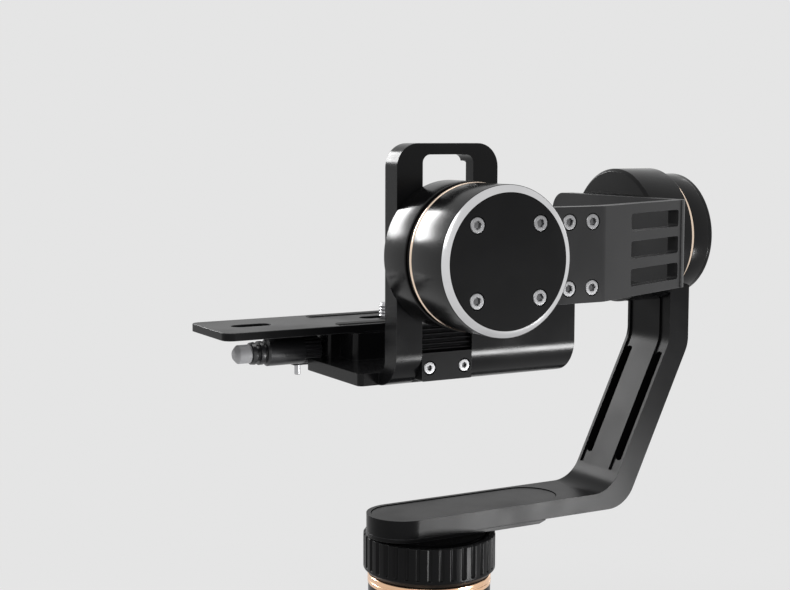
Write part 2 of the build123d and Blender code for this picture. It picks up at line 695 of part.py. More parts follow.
with BuildPart() as pan_arm:
    with BuildSketch(ROLL) as arm_side:
        with BuildLine():
            Polyline(
                (upright_in_y, 0), (upright_in_y, -ARM_BEND_DROP),
                (ARM_LEVEL_START_Y, -ARM_TOP_DROP), (nose_end_y, -ARM_TOP_DROP),
                (nose_end_y, -ARM_TOP_DROP - ARM_LEVEL_T),
                (out_level_y, -ARM_TOP_DROP - ARM_LEVEL_T), (upright_out_y, -out_bend_drop),
                (upright_out_y, 0), close=True,
            )
        make_face()
        bends = arm_side.vertices().filter_by(lambda v: v.Y < -1 and v.X < 0)
        fillet(bends, ARM_BEND_R)
    extrude(amount=ARM_W / 2, both=True)
    # Plan view: the level stretch ends in a half-round nose.
    with BuildSketch(level(ARM_BOTTOM_Z - 1)):
        with Locations((0, (ARM_NOSE_Y + upright_out_y - 1) / 2)):
            Rectangle(ARM_W, ARM_NOSE_Y - upright_out_y + 1)
        with Locations((0, ARM_NOSE_Y)):
            Circle(nose_r)
    extrude(amount=AXIS_HEIGHT, mode=Mode.INTERSECT)
    # Housing of the roll motor at the head of the arm, with the seat of its trim ring.
    with BuildSketch(facing_back(upright_in_y)):
        Circle(ROLL_TRIM_R + FIT_GAP)
    extrude(amount=upright_in_y - ROLL_HOUSING_Y, mode=Mode.SUBTRACT)
    with BuildSketch(facing_back(ROLL_HOUSING_Y)):
        Circle(ROLL_MOTOR_R)
    extrude(amount=ROLL_HOUSING_Y - upright_out_y)
    with BuildSketch(facing_back(ROLL_FRONT_Y - BOSS_SETBACK)):
        Circle(BOSS_R)
    extrude(amount=ROLL_FRONT_Y - ROLL_HOUSING_Y - BOSS_SETBACK)
    with BuildSketch(facing_back(ROLL_FRONT_Y)):
        Circle(BEARING_R)
    extrude(amount=ROLL_FRONT_Y - rear_cover_y, mode=Mode.SUBTRACT)
    # Twin pockets in the slope, in shallow channels that run on up the bend.
    for slot_x in (-SLOT_X, SLOT_X):
        with BuildSketch(ROLL.offset(slot_x)):
            with BuildLine():
                FilletPolyline(
                    (upright_in_y, -GROOVE_TOP_DROP), (upright_in_y, -ARM_BEND_DROP), groove_end,
                    radius=ARM_BEND_R,
                )
                offset(amount=GROOVE_DEPTH, side=Side.RIGHT)
            make_face()
        extrude(amount=SLOT_W / 2, both=True, mode=Mode.SUBTRACT)
    slope_plane = Plane(
        origin=(0, upright_in_y, AXIS_HEIGHT - ARM_BEND_DROP),
        x_dir=(1, 0, 0), z_dir=(0, slope_fall, slope_run),
    )
    with BuildSketch(slope_plane):
        with Locations((-SLOT_X, slope_length * 0.44), (SLOT_X, slope_length * 0.44)):
            SlotOverall(slope_length * 0.72, SLOT_W, rotation=90)
    extrude(amount=-SLOT_DEPTH, mode=Mode.SUBTRACT)
    # Seat of the top cover.
    with BuildSketch(level(ARM_TOP_Z)):
        with Locations((0, (PANEL_REAR_Y + ARM_NOSE_Y) / 2)):
            SlotOverall(
                ARM_NOSE_Y - PANEL_REAR_Y + ARM_W - 2 * PANEL_RIM, ARM_W - 2 * PANEL_RIM,
                rotation=90,
            )
    extrude(amount=-PANEL_T, mode=Mode.SUBTRACT)
    add(arm_screw_seats.part, mode=Mode.SUBTRACT)
finish(pan_arm, "pan_arm")

# Covers of the level stretch: an inlaid panel on top and a plate below.
with BuildPart() as arm_top_cover:
    with BuildSketch(level(ARM_TOP_Z - PANEL_T)):
        with Locations((0, (PANEL_REAR_Y + ARM_NOSE_Y) / 2)):
            SlotOverall(
                ARM_NOSE_Y - PANEL_REAR_Y + ARM_W - 2 * PANEL_RIM - 2 * SLIDE_GAP,
                ARM_W - 2 * PANEL_RIM - 2 * SLIDE_GAP, rotation=90,
            )
    extrude(amount=PANEL_T - 2 * SLIDE_GAP)
finish(arm_top_cover, "arm_top_cover")

with BuildPart() as arm_base_cover:
    with BuildSketch(level(BASE_COVER_Z)):
        with Locations((0, (ARM_NOSE_Y + BASE_COVER_REAR_Y) / 2)):
            Rectangle(ARM_W, ARM_NOSE_Y - BASE_COVER_REAR_Y)
        with Locations((0, ARM_NOSE_Y)):
            Circle(nose_r)
        Circle(SHAFT_R, mode=Mode.SUBTRACT)
    extrude(amount=BASE_COVER_T)
    low_edges = arm_base_cover.faces().sort_by(Axis.Z)[0].edges()
    chamfer(low_edges.sort_by(Axis.Y)[0], BASE_COVER_T * 0.7, BASE_COVER_T * 2.0)
    add(arm_screw_seats.part, mode=Mode.SUBTRACT)
finish(arm_base_cover, "arm_base_cover")

# Rear cover of the roll motor, with a turned groove.
with BuildPart() as roll_rear_cover:
    add(
        turned(
            ROLL,
            (upright_out_y, 0), (upright_out_y, ROLL_MOTOR_R), (rear_cover_y + 1.2, ROLL_MOTOR_R),
            (rear_cover_y, ROLL_MOTOR_R - 1.2), (rear_cover_y, BOSS_R + 3.4),
            (rear_cover_y + 0.5, BOSS_R + 3.0), (rear_cover_y + 0.5, 0),
        ).part
    )
    add(arm_screw_seats.part, mode=Mode.SUBTRACT)
finish(roll_rear_cover, "roll_rear_cover")

finish(
    tube(ROLL, ROLL_HOUSING_Y, ROLL_SHELL_END_Y - SEAT_GAP, ROLL_TRIM_R, STATOR_R + 2.0),
    "roll_trim_ring",
)
roll_boss_y = ROLL_FRONT_Y - BOSS_SETBACK
finish(stator(ROLL, ROLL_HOUSING_Y + 2.0, roll_boss_y - 1.0), "roll_stator")
finish(bearings(ROLL, (roll_boss_y - BEARING_T, upright_out_y)), "roll_bearings")

# ================================================================ roll rotor
clamp_face_y = CROSS_BACK_Y - SLIDE_GAP
clamp_screw_places = [
    Plane(origin=(x, clamp_face_y, AXIS_HEIGHT + z), x_dir=(1, 0, 0), z_dir=(0, 1, 0))
    for x in (-CLAMP_SCREW_X, CLAMP_SCREW_X) for z in (-CLAMP_SCREW_Z, CLAMP_SCREW_Z)
]
clamp_screws = hex_screws(clamp_screw_places, M3_SHORT_L)
clamp_screw_seats = hex_screws(clamp_screw_places, M3_SHORT_L, hex_r=0)
finish(clamp_screws, "clamp_screws")
with BuildPart() as roll_rotor:
    add(
        turned(
            ROLL,
            (ROLL_FRONT_Y, SHAFT_R), (ROLL_FRONT_Y, ROLL_ROTOR_R - ROLL_ROTOR_BEVEL),
            (ROLL_FRONT_Y - ROLL_ROTOR_BEVEL, ROLL_ROTOR_R),
            (ROLL_SHELL_END_Y + 0.3, ROLL_ROTOR_R), (ROLL_SHELL_END_Y, ROLL_ROTOR_R - 0.3),
            (ROLL_SHELL_END_Y, BELL_BORE_R), (ROLL_FRONT_Y - WEB_T, BELL_BORE_R),
            (ROLL_FRONT_Y - WEB_T, SHAFT_R),
        ).part
    )
    add(clamp_screw_seats.part, mode=Mode.SUBTRACT)
finish(roll_rotor, "roll_rotor")
finish(tube(ROLL, upright_out_y + 0.4, ROLL_FRONT_Y, SHAFT_R, 1.5), "roll_shaft")

# Cross clamp: backing plate behind the bar, with a key that the bar's slot slides on.
with BuildPart() as cross_clamp:
    with BuildSketch(facing_back(clamp_face_y)):
        RectangleRounded(CLAMP_W, CLAMP_H, CLAMP_CORNER_R)
    extrude(amount=clamp_face_y - ROLL_FRONT_Y)
    with BuildSketch(facing_back(CROSS_FRONT_Y - KEY_DROP)):
        RectangleRounded(KEY_L, KEY_H, KEY_H / 2.2)
    extrude(amount=CROSS_FRONT_Y - KEY_DROP - ROLL_FRONT_Y)
    with BuildSketch(facing_back(CROSS_FRONT_Y)):
        Circle(KNOB_STUD_R + FIT_GAP)
    extrude(amount=CROSS_FRONT_Y - ROLL_FRONT_Y, mode=Mode.SUBTRACT)
    add(clamp_screw_seats.part, mode=Mode.SUBTRACT)
finish(cross_clamp, "cross_clamp")

# Knob that locks the sideways balance: knurled head on a plain stud.
knob_back_y = CROSS_FRONT_Y + SEAT_GAP
with BuildPart() as roll_lock_knob:
    add(
        turned(
            ROLL,
            (ROLL_FRONT_Y + SEAT_GAP, 0), (ROLL_FRONT_Y + SEAT_GAP, KNOB_STUD_R),
            (knob_back_y, KNOB_STUD_R), (knob_back_y, KNOB_R - 1.0), (knob_back_y + 1.2, KNOB_R),
            (knob_back_y + KNOB_T - 1.0, KNOB_R), (knob_back_y + KNOB_T, KNOB_R - 1.0),
            (knob_back_y + KNOB_T, KNOB_R - 3.0), (knob_back_y + KNOB_T - 0.6, KNOB_R - 3.4),
            (knob_back_y + KNOB_T - 0.6, 0),
        ).part
    )
    with BuildSketch(facing_back(knob_back_y + KNOB_T + 1.0)):
        with PolarLocations(KNOB_R + 0.7, 16):
            Circle(1.3)
    extrude(amount=KNOB_T + 0.8, mode=Mode.SUBTRACT)
finish(roll_lock_knob, "roll_lock_knob")

# ================================================================ roll arm
# Plan of the strap: along the motor, back to the corner, then across.
bend_point = (STRAP_OUT_X, STRAP_BEND_Y)
corner_point = (STRAP_CORNER_X, CROSS_BACK_Y)
run = (corner_point[0] - bend_point[0], corner_point[1] - bend_point[1])
run_length = sqrt(run[0] ** 2 + run[1] ** 2)
strap_face = Plane(
    origin=(bend_point[0], bend_point[1], AXIS_HEIGHT),
    x_dir=(run[0] / run_length, run[1] / run_length, 0),
    z_dir=(run[1] / run_length, -run[0] / run_length, 0),
)
strap_in_x = STRAP_OUT_X + STRAP_T


def strap_plane(y, z):
    """Plane on the outer face of the strap beside the motor, facing out."""
    return Plane(origin=(STRAP_OUT_X, y, AXIS_HEIGHT + z), x_dir=(0, 1, 0), z_dir=(-1, 0, 0))


strap_screw_places = [
    strap_plane(y, z) for y in STRAP_SCREW_Y for z in (-STRAP_SCREW_Z, STRAP_SCREW_Z)
]
strap_screws = hex_screws(strap_screw_places, M3_LONG_L)
strap_screw_seats = hex_screws(strap_screw_places, M3_LONG_L, hex_r=0)
with BuildPart() as roll_strap:
    with BuildSketch(level(AXIS_HEIGHT - STRAP_HALF_H)):
        with BuildLine():
            FilletPolyline(
                (STRAP_OUT_X, STRAP_FRONT_Y), bend_point, corner_point,
                (CROSS_END_X, CROSS_BACK_Y), radius=(STRAP_BEND_R + STRAP_T, STRAP_BEND_R + STRAP_T),
            )
            offset(amount=STRAP_T, side=Side.LEFT)
        make_face()
    extrude(amount=STRAP_H)
    # Rounded far end of the cross bar.
    bar_end = roll_strap.faces().sort_by(Axis.X)[-1]
    fillet(bar_end.edges().filter_by(Axis.Y), CROSS_CORNER_R)
    # Shallow field around the windows, then the three windows.
    with BuildSketch(strap_face):
        with Locations(((RECESS_START + RECESS_END) / 2, 0)):
            Rectangle(RECESS_END - RECESS_START, STRAP_H + 2)
    extrude(amount=-RECESS_DEPTH, mode=Mode.SUBTRACT)
    with BuildSketch(strap_face):
        with Locations(((WINDOW_START + WINDOW_END) / 2, 0)):
            with GridLocations(0, WINDOW_PITCH, 1, 3):
                RectangleRounded(WINDOW_END - WINDOW_START, WINDOW_H, 1.2)
    extrude(amount=-1.4 * STRAP_T, mode=Mode.SUBTRACT)
    # Slot that slides on the key of the clamp.
    slot_h = KEY_H + 2 * SLIDE_GAP
    with BuildSketch(facing_back(CROSS_FRONT_Y)):
        RectangleRounded(KEY_L + 2 * CROSS_TRAVEL + 1.0, slot_h, slot_h / 2.2)
    extrude(amount=STRAP_T, mode=Mode.SUBTRACT)
    # The front edge follows the round wall of the tilt motor.
    with BuildSketch(across(STRAP_OUT_X)):
        Circle(TILT_MOTOR_R + 0.1)
    extrude(amount=STRAP_T, mode=Mode.SUBTRACT)
    add(strap_screw_seats.part, mode=Mode.SUBTRACT)
finish(roll_strap, "roll_strap")
finish(strap_screws, "strap_screws")

# Tilt motor shell: wall, web, bearing boss, screw posts and the ear for the strap.
web_x = TILT_RING_X + SHELL_WEB_DEPTH
post_top_x = TILT_FACE_X + COVER_T
boss_end_x = TILT_WALL_END_X - 0.5
face_screw_places = [
    Plane(
        origin=(TILT_FACE_X, TILT_AXIS_Y + y, AXIS_HEIGHT + z), x_dir=(0, 1, 0), z_dir=(-1, 0, 0)
    )
    for y in (-FACE_SCREW_PITCH / 2, FACE_SCREW_PITCH / 2)
    for z in (-FACE_SCREW_PITCH / 2, FACE_SCREW_PITCH / 2)
]
tilt_face_screws = hex_screws(face_screw_places, M3_SHORT_L - 0.2)
tilt_face_screw_seats = hex_screws(face_screw_places, M3_SHORT_L - 0.2, hex_r=0)
with BuildPart() as tilt_shell:
    with BuildSketch(Plane(origin=(strap_in_x, 0, AXIS_HEIGHT), x_dir=(0, 1, 0), z_dir=(1, 0, 0))):
        with Locations(((EAR_REAR_Y + 1.0) / 2, 0)):
            RectangleRounded(1.0 - EAR_REAR_Y, EAR_H, 3.0)
    extrude(amount=EAR_T)
    with BuildSketch(across(strap_in_x)):
        Circle(TILT_MOTOR_R - 1.0)
    extrude(amount=EAR_T, mode=Mode.SUBTRACT)
    add(
        turned(
            TILT,
            (TILT_RING_X, BEVEL_SEAT_R), (TILT_RING_X, TILT_MOTOR_R),
            (TILT_WALL_END_X, TILT_MOTOR_R), (TILT_WALL_END_X, SHELL_INNER_R),
            (web_x + WEB_T, SHELL_INNER_R), (web_x + WEB_T, BOSS_R), (boss_end_x, BOSS_R),
            (boss_end_x, BEARING_R), (web_x, BEARING_R), (web_x, SHELL_INNER_R),
            (TILT_RING_X + BEVEL_SEAT_T, SHELL_INNER_R),
            (TILT_RING_X + BEVEL_SEAT_T, BEVEL_SEAT_R),
        ).part
    )
    with BuildSketch(across(post_top_x)):
        with GridLocations(FACE_SCREW_PITCH, FACE_SCREW_PITCH, 2, 2):
            Circle(3.0)
    extrude(amount=web_x - post_top_x)
    add(tilt_face_screw_seats.part, mode=Mode.SUBTRACT)
    add(strap_screw_seats.part, mode=Mode.SUBTRACT)
finish(tilt_shell, "tilt_shell")

finish(
    turned(
        TILT,
        (TILT_FACE_X + BEVEL_SETBACK, COVER_R), (TILT_FACE_X + BEVEL_SETBACK, COVER_R + BEVEL_LAND),
        (TILT_RING_X, TILT_MOTOR_R), (TILT_RING_X, BEVEL_SEAT_R),
        (TILT_RING_X + BEVEL_SEAT_T, BEVEL_SEAT_R), (TILT_RING_X + BEVEL_SEAT_T, COVER_R),
    ),
    "tilt_bevel_ring",
)
with BuildPart() as tilt_face_cover:
    with BuildSketch(across(TILT_FACE_X)):
        Circle(COVER_R - FIT_GAP)
    extrude(amount=COVER_T)
    chamfer(tilt_face_cover.faces().sort_by(Axis.X)[0].edges(), COVER_EDGE)
    add(tilt_face_screw_seats.part, mode=Mode.SUBTRACT)
finish(tilt_face_cover, "tilt_face_cover")
finish(tilt_face_screws, "tilt_face_screws")

finish(
    tube(TILT, TILT_WALL_END_X, TILT_TRIM_END_X, TILT_TRIM_R, TILT_BELL_R + 0.6),
    "tilt_trim_ring",
)
finish(stator(TILT, web_x + WEB_T + 1.0, boss_end_x - 1.0), "tilt_stator")
finish(bearings(TILT, (web_x, boss_end_x - BEARING_T)), "tilt_bearings")

# ================================================================ tilt rotor
rotor_face_x = PLATE_OUT_X - SLIDE_GAP
rotor_web_x = TILT_ROTOR_X + 2.6
flange_in_x = PLATE_IN_X - 0.2
flange_out_x = PLATE_IN_X - GUIDE_STEP_T + SLIDE_GAP
slider_screw_places = [
    Plane(origin=(flange_in_x, TILT_AXIS_Y + y, AXIS_HEIGHT + z), x_dir=(0, 1, 0), z_dir=(1, 0, 0))
    for y in (-SLIDER_SCREW_Y, SLIDER_SCREW_Y) for z in (-SLIDER_SCREW_Z, SLIDER_SCREW_Z)
]
slider_screws = hex_screws(slider_screw_places, SLIDER_SCREW_L)
slider_screw_seats = hex_screws(slider_screw_places, SLIDER_SCREW_L, hex_r=0)
with BuildPart() as tilt_rotor:
    add(
        turned(
            TILT,
            (rotor_face_x, SHAFT_R), (rotor_face_x, TILT_ROTOR_R - 0.4),
            (rotor_face_x - 0.4, TILT_ROTOR_R), (TILT_ROTOR_X + 0.4, TILT_ROTOR_R),
            (TILT_ROTOR_X, TILT_ROTOR_R - 0.4), (TILT_ROTOR_X, TILT_NECK_R),
            (TILT_TRIM_END_X + SEAT_GAP, TILT_NECK_R), (TILT_TRIM_END_X + SEAT_GAP, TILT_BELL_R),
            (web_x + WEB_T + 1.0, TILT_BELL_R), (web_x + WEB_T + 1.0, BELL_BORE_R),
            (rotor_web_x, BELL_BORE_R), (rotor_web_x, SHAFT_R),
        ).part
    )
    add(slider_screw_seats.part, mode=Mode.SUBTRACT)
finish(tilt_rotor, "tilt_rotor")
finish(tube(TILT, web_x - 0.4, rotor_face_x - 4.5, SHAFT_R, 1.5), "tilt_shaft")

with BuildPart() as height_slider:
    with BuildSketch(across(rotor_face_x)):
        RectangleRounded(GUIDE_W - 2 * SLIDE_GAP, SLIDER_H, 1.5)
    extrude(amount=flange_in_x - rotor_face_x)
    with BuildSketch(across(flange_out_x)):
        RectangleRounded(GUIDE_STEP_W - 2 * SLIDE_GAP, SLIDER_H, 2.5)
    extrude(amount=flange_in_x - flange_out_x)
    with BuildSketch(across(flange_in_x)):
        Circle(LOCK_HEAD_R + FIT_GAP)
    extrude(amount=-LOCK_HEAD_T - 0.3, mode=Mode.SUBTRACT)
    with BuildSketch(across(flange_in_x)):
        Circle(LOCK_SHANK_R + FIT_GAP)
    extrude(amount=-LOCK_SCREW_L - 0.5, mode=Mode.SUBTRACT)
    add(slider_screw_seats.part, mode=Mode.SUBTRACT)
finish(height_slider, "height_slider")
finish(slider_screws, "slider_screws")

# Socket screw that locks the height of the bracket.
with BuildPart() as height_lock_screw:
    with BuildSketch(across(flange_in_x - 0.1)):
        Circle(LOCK_HEAD_R)
    extrude(amount=-LOCK_HEAD_T)
    with BuildSketch(across(flange_in_x - 0.1)):
        Circle(LOCK_SHANK_R)
    extrude(amount=-LOCK_SCREW_L)
    with BuildSketch(across(flange_in_x - 0.1)):
        RegularPolygon(LOCK_HEAD_R / 2, 6)
    extrude(amount=-0.8 * LOCK_HEAD_T, mode=Mode.SUBTRACT)
finish(height_lock_screw, "height_lock_screw")

# ================================================================ bracket
plate_front_y = TILT_AXIS_Y + PLATE_HALF_W
heel_y = HEEL_REAR_Y - TILT_AXIS_Y
block_screw_places = [
    Plane(
        origin=(PLATE_OUT_X, TILT_AXIS_Y + y, AXIS_HEIGHT + BLOCK_SCREW_Z),
        x_dir=(0, 1, 0), z_dir=(-1, 0, 0),
    )
    for y in (-BLOCK_SCREW_PITCH / 2, BLOCK_SCREW_PITCH / 2)
]
block_screw_l = PLATE_T + GUSSET_T - 1.5
block_screws = hex_screws(block_screw_places, block_screw_l, M25_HEAD_R, M25_SHANK_R, M25_HEX_R)
block_screw_seats = hex_screws(block_screw_places, block_screw_l, M25_HEAD_R, M25_SHANK_R, 0)
with BuildPart() as side_plate:
    # Section through the bend: upright, rounded corner and level leg.
    with BuildSketch(facing_back(plate_front_y)) as bend:
        with BuildLine():
            Polyline(
                (PLATE_OUT_X, PLATE_TOP), (PLATE_OUT_X, LEG_BOTTOM), (LEG_END_X, LEG_BOTTOM),
                (LEG_END_X, LEG_TOP), (PLATE_IN_X, LEG_TOP), (PLATE_IN_X, PLATE_TOP), close=True,
            )
        make_face()
        outer = bend.vertices().filter_by(lambda v: v.X < PLATE_OUT_X + 1 and v.Y < 0)
        fillet(outer, BEND_R)
        inner = bend.vertices().filter_by(lambda v: abs(v.X - PLATE_IN_X) < 0.1 and v.Y < 0)
        fillet(inner, INNER_BEND_R)
    extrude(amount=plate_front_y - HEEL_REAR_Y)
    # Side view: the upright rises from a longer heel.
    with BuildSketch(across(PLATE_OUT_X)) as side:
        with BuildLine():
            Polyline(
                (PLATE_HALF_W, PLATE_TOP), (PLATE_HALF_W, LEG_BOTTOM), (heel_y, LEG_BOTTOM),
                (heel_y, HEEL_TOP), (-PLATE_HALF_W, HEEL_TOP), (-PLATE_HALF_W, PLATE_TOP),
                close=True,
            )
        make_face()
        fillet(side.vertices().filter_by(lambda v: v.Y > 0), PLATE_CORNER_R)
        fillet(side.vertices().filter_by(lambda v: abs(v.Y - HEEL_TOP) < 0.1), HEEL_CORNER_R)
    extrude(amount=LEG_END_X - PLATE_OUT_X, mode=Mode.INTERSECT)
    # Tongue in front of the flat stretch of the leg.
    with BuildSketch(level(AXIS_HEIGHT + LEG_BOTTOM)):
        with Locations(((BEND_END_X + LEG_END_X) / 2, (plate_front_y + LEG_FRONT_Y) / 2)):
            Rectangle(LEG_END_X - BEND_END_X, LEG_FRONT_Y - plate_front_y)
    extrude(amount=LEG_T)
    # Plan view: rounded corners all round.
    with BuildSketch(level(AXIS_HEIGHT + LEG_BOTTOM)) as plan:
        with BuildLine():
            Polyline(
                (PLATE_OUT_X, HEEL_REAR_Y), (LEG_END_X, HEEL_REAR_Y), (LEG_END_X, LEG_FRONT_Y),
                (BEND_END_X, LEG_FRONT_Y), (BEND_END_X, plate_front_y),
                (PLATE_OUT_X, plate_front_y), close=True,
            )
        make_face()
        fillet(plan.vertices().filter_by(lambda v: v.X > 0), LEG_CORNER_R)
        fillet(plan.vertices().filter_by(lambda v: v.X < 0 and v.Y > LEG_FRONT_Y - 1), 2.0)
    extrude(amount=PLATE_TOP - LEG_BOTTOM, mode=Mode.INTERSECT)
    # Rail for the camera plate and the lug for its lock knob.
    rail_top = CAMERA_PLATE_BOTTOM - SLIDE_GAP
    with BuildSketch(level(AXIS_HEIGHT + LEG_TOP)):
        with Locations((RAIL_X, (RAIL_REAR_Y + RAIL_FRONT_Y) / 2)):
            RectangleRounded(RAIL_W, RAIL_FRONT_Y - RAIL_REAR_Y, 2.5)
        with Locations((RAIL_X, RAIL_FRONT_Y)):
            RectangleRounded(LUG_W, 2 * (PLATE_KNOB_Y - 1.0 - RAIL_FRONT_Y), 1.5)
    extrude(amount=rail_top - LEG_TOP)
    with BuildSketch(level(AXIS_HEIGHT + LEG_TOP)):
        with Locations((PLATE_IN_X + GUSSET_T / 2, TILT_AXIS_Y)):
            Rectangle(GUSSET_T, GUIDE_W + 4.0)
    extrude(amount=GUSSET_H)
    with BuildSketch(facing_back(RAIL_FRONT_Y - RAIL_STOP_T)):
        with BuildLine():
            Polyline(
                (RAIL_X - KEEL_TOP_W / 2 - SLIDE_GAP, CAMERA_PLATE_BOTTOM + 0.5),
                (RAIL_X - KEEL_TOP_W / 2 - SLIDE_GAP, CAMERA_PLATE_BOTTOM),
                (RAIL_X - KEEL_BOTTOM_W / 2 - SLIDE_GAP, KEEL_BOTTOM - SLIDE_GAP),
                (RAIL_X + KEEL_BOTTOM_W / 2 + SLIDE_GAP, KEEL_BOTTOM - SLIDE_GAP),
                (RAIL_X + KEEL_TOP_W / 2 + SLIDE_GAP, CAMERA_PLATE_BOTTOM),
                (RAIL_X + KEEL_TOP_W / 2 + SLIDE_GAP, CAMERA_PLATE_BOTTOM + 0.5), close=True,
            )
        make_face()
    extrude(amount=RAIL_FRONT_Y - RAIL_REAR_Y, mode=Mode.SUBTRACT)
    # Height slot, open at the foot for the closing block, with its inner rebate.
    with BuildSketch(across(PLATE_OUT_X)) as slot:
        with Locations((0, (GUIDE_TOP + LEG_BOTTOM - 2) / 2)):
            Rectangle(GUIDE_W, GUIDE_TOP - LEG_BOTTOM + 2)
        fillet(slot.vertices().filter_by(lambda v: v.Y > 0), 3.0)
    extrude(amount=PLATE_T, mode=Mode.SUBTRACT)
    step_bottom = -SLIDER_H / 2 - RAISE - GUIDE_STEP_BELOW
    step_top = SLIDER_H / 2 + LOWER + GUIDE_STEP_ABOVE
    with BuildSketch(across(PLATE_IN_X)):
        with Locations((0, (step_top + step_bottom) / 2)):
            RectangleRounded(GUIDE_STEP_W, step_top - step_bottom, GUIDE_STEP_CORNER_R)
    extrude(amount=-GUIDE_STEP_T, mode=Mode.SUBTRACT)
    # Notch for the barrel of the lock knob, its threaded hole and the pin hole.
    with BuildSketch(level(AXIS_HEIGHT + LEG_BOTTOM)):
        with Locations((RAIL_X, LEG_FRONT_Y)):
            Rectangle(2 * PLATE_KNOB_R + 1.6, 2 * (LEG_FRONT_Y - PLATE_KNOB_Y + 1.0))
        with Locations((STOP_PIN_X, LEG_FRONT_Y - STOP_PIN_INSET)):
            Circle(STOP_PIN_R)
    extrude(amount=LEG_T, mode=Mode.SUBTRACT)
    with BuildSketch(facing_back(PLATE_KNOB_Y)):
        with Locations((RAIL_X, PLATE_KNOB_Z)):
            Circle(KNOB_STUD_R + FIT_GAP)
    extrude(amount=PLATE_KNOB_Y - RAIL_FRONT_Y + RAIL_STOP_T, mode=Mode.SUBTRACT)
    add(block_screw_seats.part, mode=Mode.SUBTRACT)
finish(side_plate, "side_plate")

with BuildPart() as slot_block:
    with BuildSketch(across(PLATE_OUT_X)):
        with Locations((0, (BLOCK_TOP + BLOCK_BOTTOM) / 2)):
            RectangleRounded(GUIDE_W - 2 * FIT_GAP, BLOCK_TOP - BLOCK_BOTTOM, 0.6)
    extrude(amount=PLATE_T)
    add(block_screw_seats.part, mode=Mode.SUBTRACT)
finish(slot_block, "slot_block")
finish(block_screws, "block_screws")

# Toothed stop at the foot of the slot.
rack_face_x = PLATE_OUT_X + 1.0
tooth_pitch = (RACK_TOP - BLOCK_TOP) / RACK_TEETH
teeth = []
for index in range(RACK_TEETH):
    low = BLOCK_TOP + index * tooth_pitch
    teeth.append((rack_face_x + 1.2, low))
    teeth.append((rack_face_x, low + 0.7 * tooth_pitch))
teeth.append((rack_face_x + 1.2, RACK_TOP))
with BuildPart() as slot_rack:
    with BuildSketch(facing_back(TILT_AXIS_Y + GUIDE_W / 2 - FIT_GAP)):
        with BuildLine():
            Polyline(
                *teeth, (rack_face_x + RACK_T, RACK_TOP), (rack_face_x + RACK_T, BLOCK_TOP),
                close=True,
            )
        make_face()
    extrude(amount=GUIDE_W - 2 * FIT_GAP)
finish(slot_rack, "slot_rack")

with BuildPart() as stop_pin:
    with BuildSketch(level(AXIS_HEIGHT + LEG_TOP)):
        with Locations((STOP_PIN_X, LEG_FRONT_Y - STOP_PIN_INSET)):
            Circle(STOP_PIN_R)
    extrude(amount=-LEG_T - STOP_PIN_DROP)
    chamfer(stop_pin.faces().sort_by(Axis.Z)[0].edges(), 0.3)
finish(stop_pin, "stop_pin")

# Lock knob of the camera plate: stud, part-fluted barrel, turned neck and soft round end.
knob_plane = Plane(origin=(RAIL_X, 0, AXIS_HEIGHT + PLATE_KNOB_Z), x_dir=(0, 1, 0), z_dir=(1, 0, 0))
barrel_end = PLATE_KNOB_Y + PLATE_KNOB_L
with BuildPart() as plate_lock_knob:
    add(
        turned(
            knob_plane,
            (RAIL_FRONT_Y + 0.5, 0), (RAIL_FRONT_Y + 0.5, KNOB_STUD_R), (PLATE_KNOB_Y, KNOB_STUD_R),
            (PLATE_KNOB_Y, PLATE_KNOB_R - 0.5), (PLATE_KNOB_Y + 0.5, PLATE_KNOB_R),
            (barrel_end - 0.8, PLATE_KNOB_R), (barrel_end, PLATE_KNOB_R - 0.8),
            (barrel_end, 3.4), (barrel_end + 1.2, 3.4), (barrel_end + 1.2, 4.6),
            (barrel_end + 2.8, 4.6), (barrel_end + 2.8, 3.2), (barrel_end + 4.4, 3.2),
            (barrel_end + 4.4, 4.4), (barrel_end + 6.0, 4.2),
            (barrel_end + 6.0, PLATE_KNOB_TAIL_R),
            (barrel_end + PLATE_KNOB_TAIL - 1.4, PLATE_KNOB_TAIL_R),
            (barrel_end + PLATE_KNOB_TAIL, PLATE_KNOB_TAIL_R - 1.6),
            (barrel_end + PLATE_KNOB_TAIL, 0),
        ).part
    )
    with BuildSketch(facing_back(PLATE_KNOB_Y + PLATE_KNOB_FLUTE_L)):
        with Locations((RAIL_X, PLATE_KNOB_Z)):
            with PolarLocations(PLATE_KNOB_R + PLATE_KNOB_FLUTE_R / 3, PLATE_KNOB_FLUTES):
                Circle(PLATE_KNOB_FLUTE_R)
    extrude(amount=PLATE_KNOB_FLUTE_L, mode=Mode.SUBTRACT)
finish(plate_lock_knob, "plate_lock_knob")

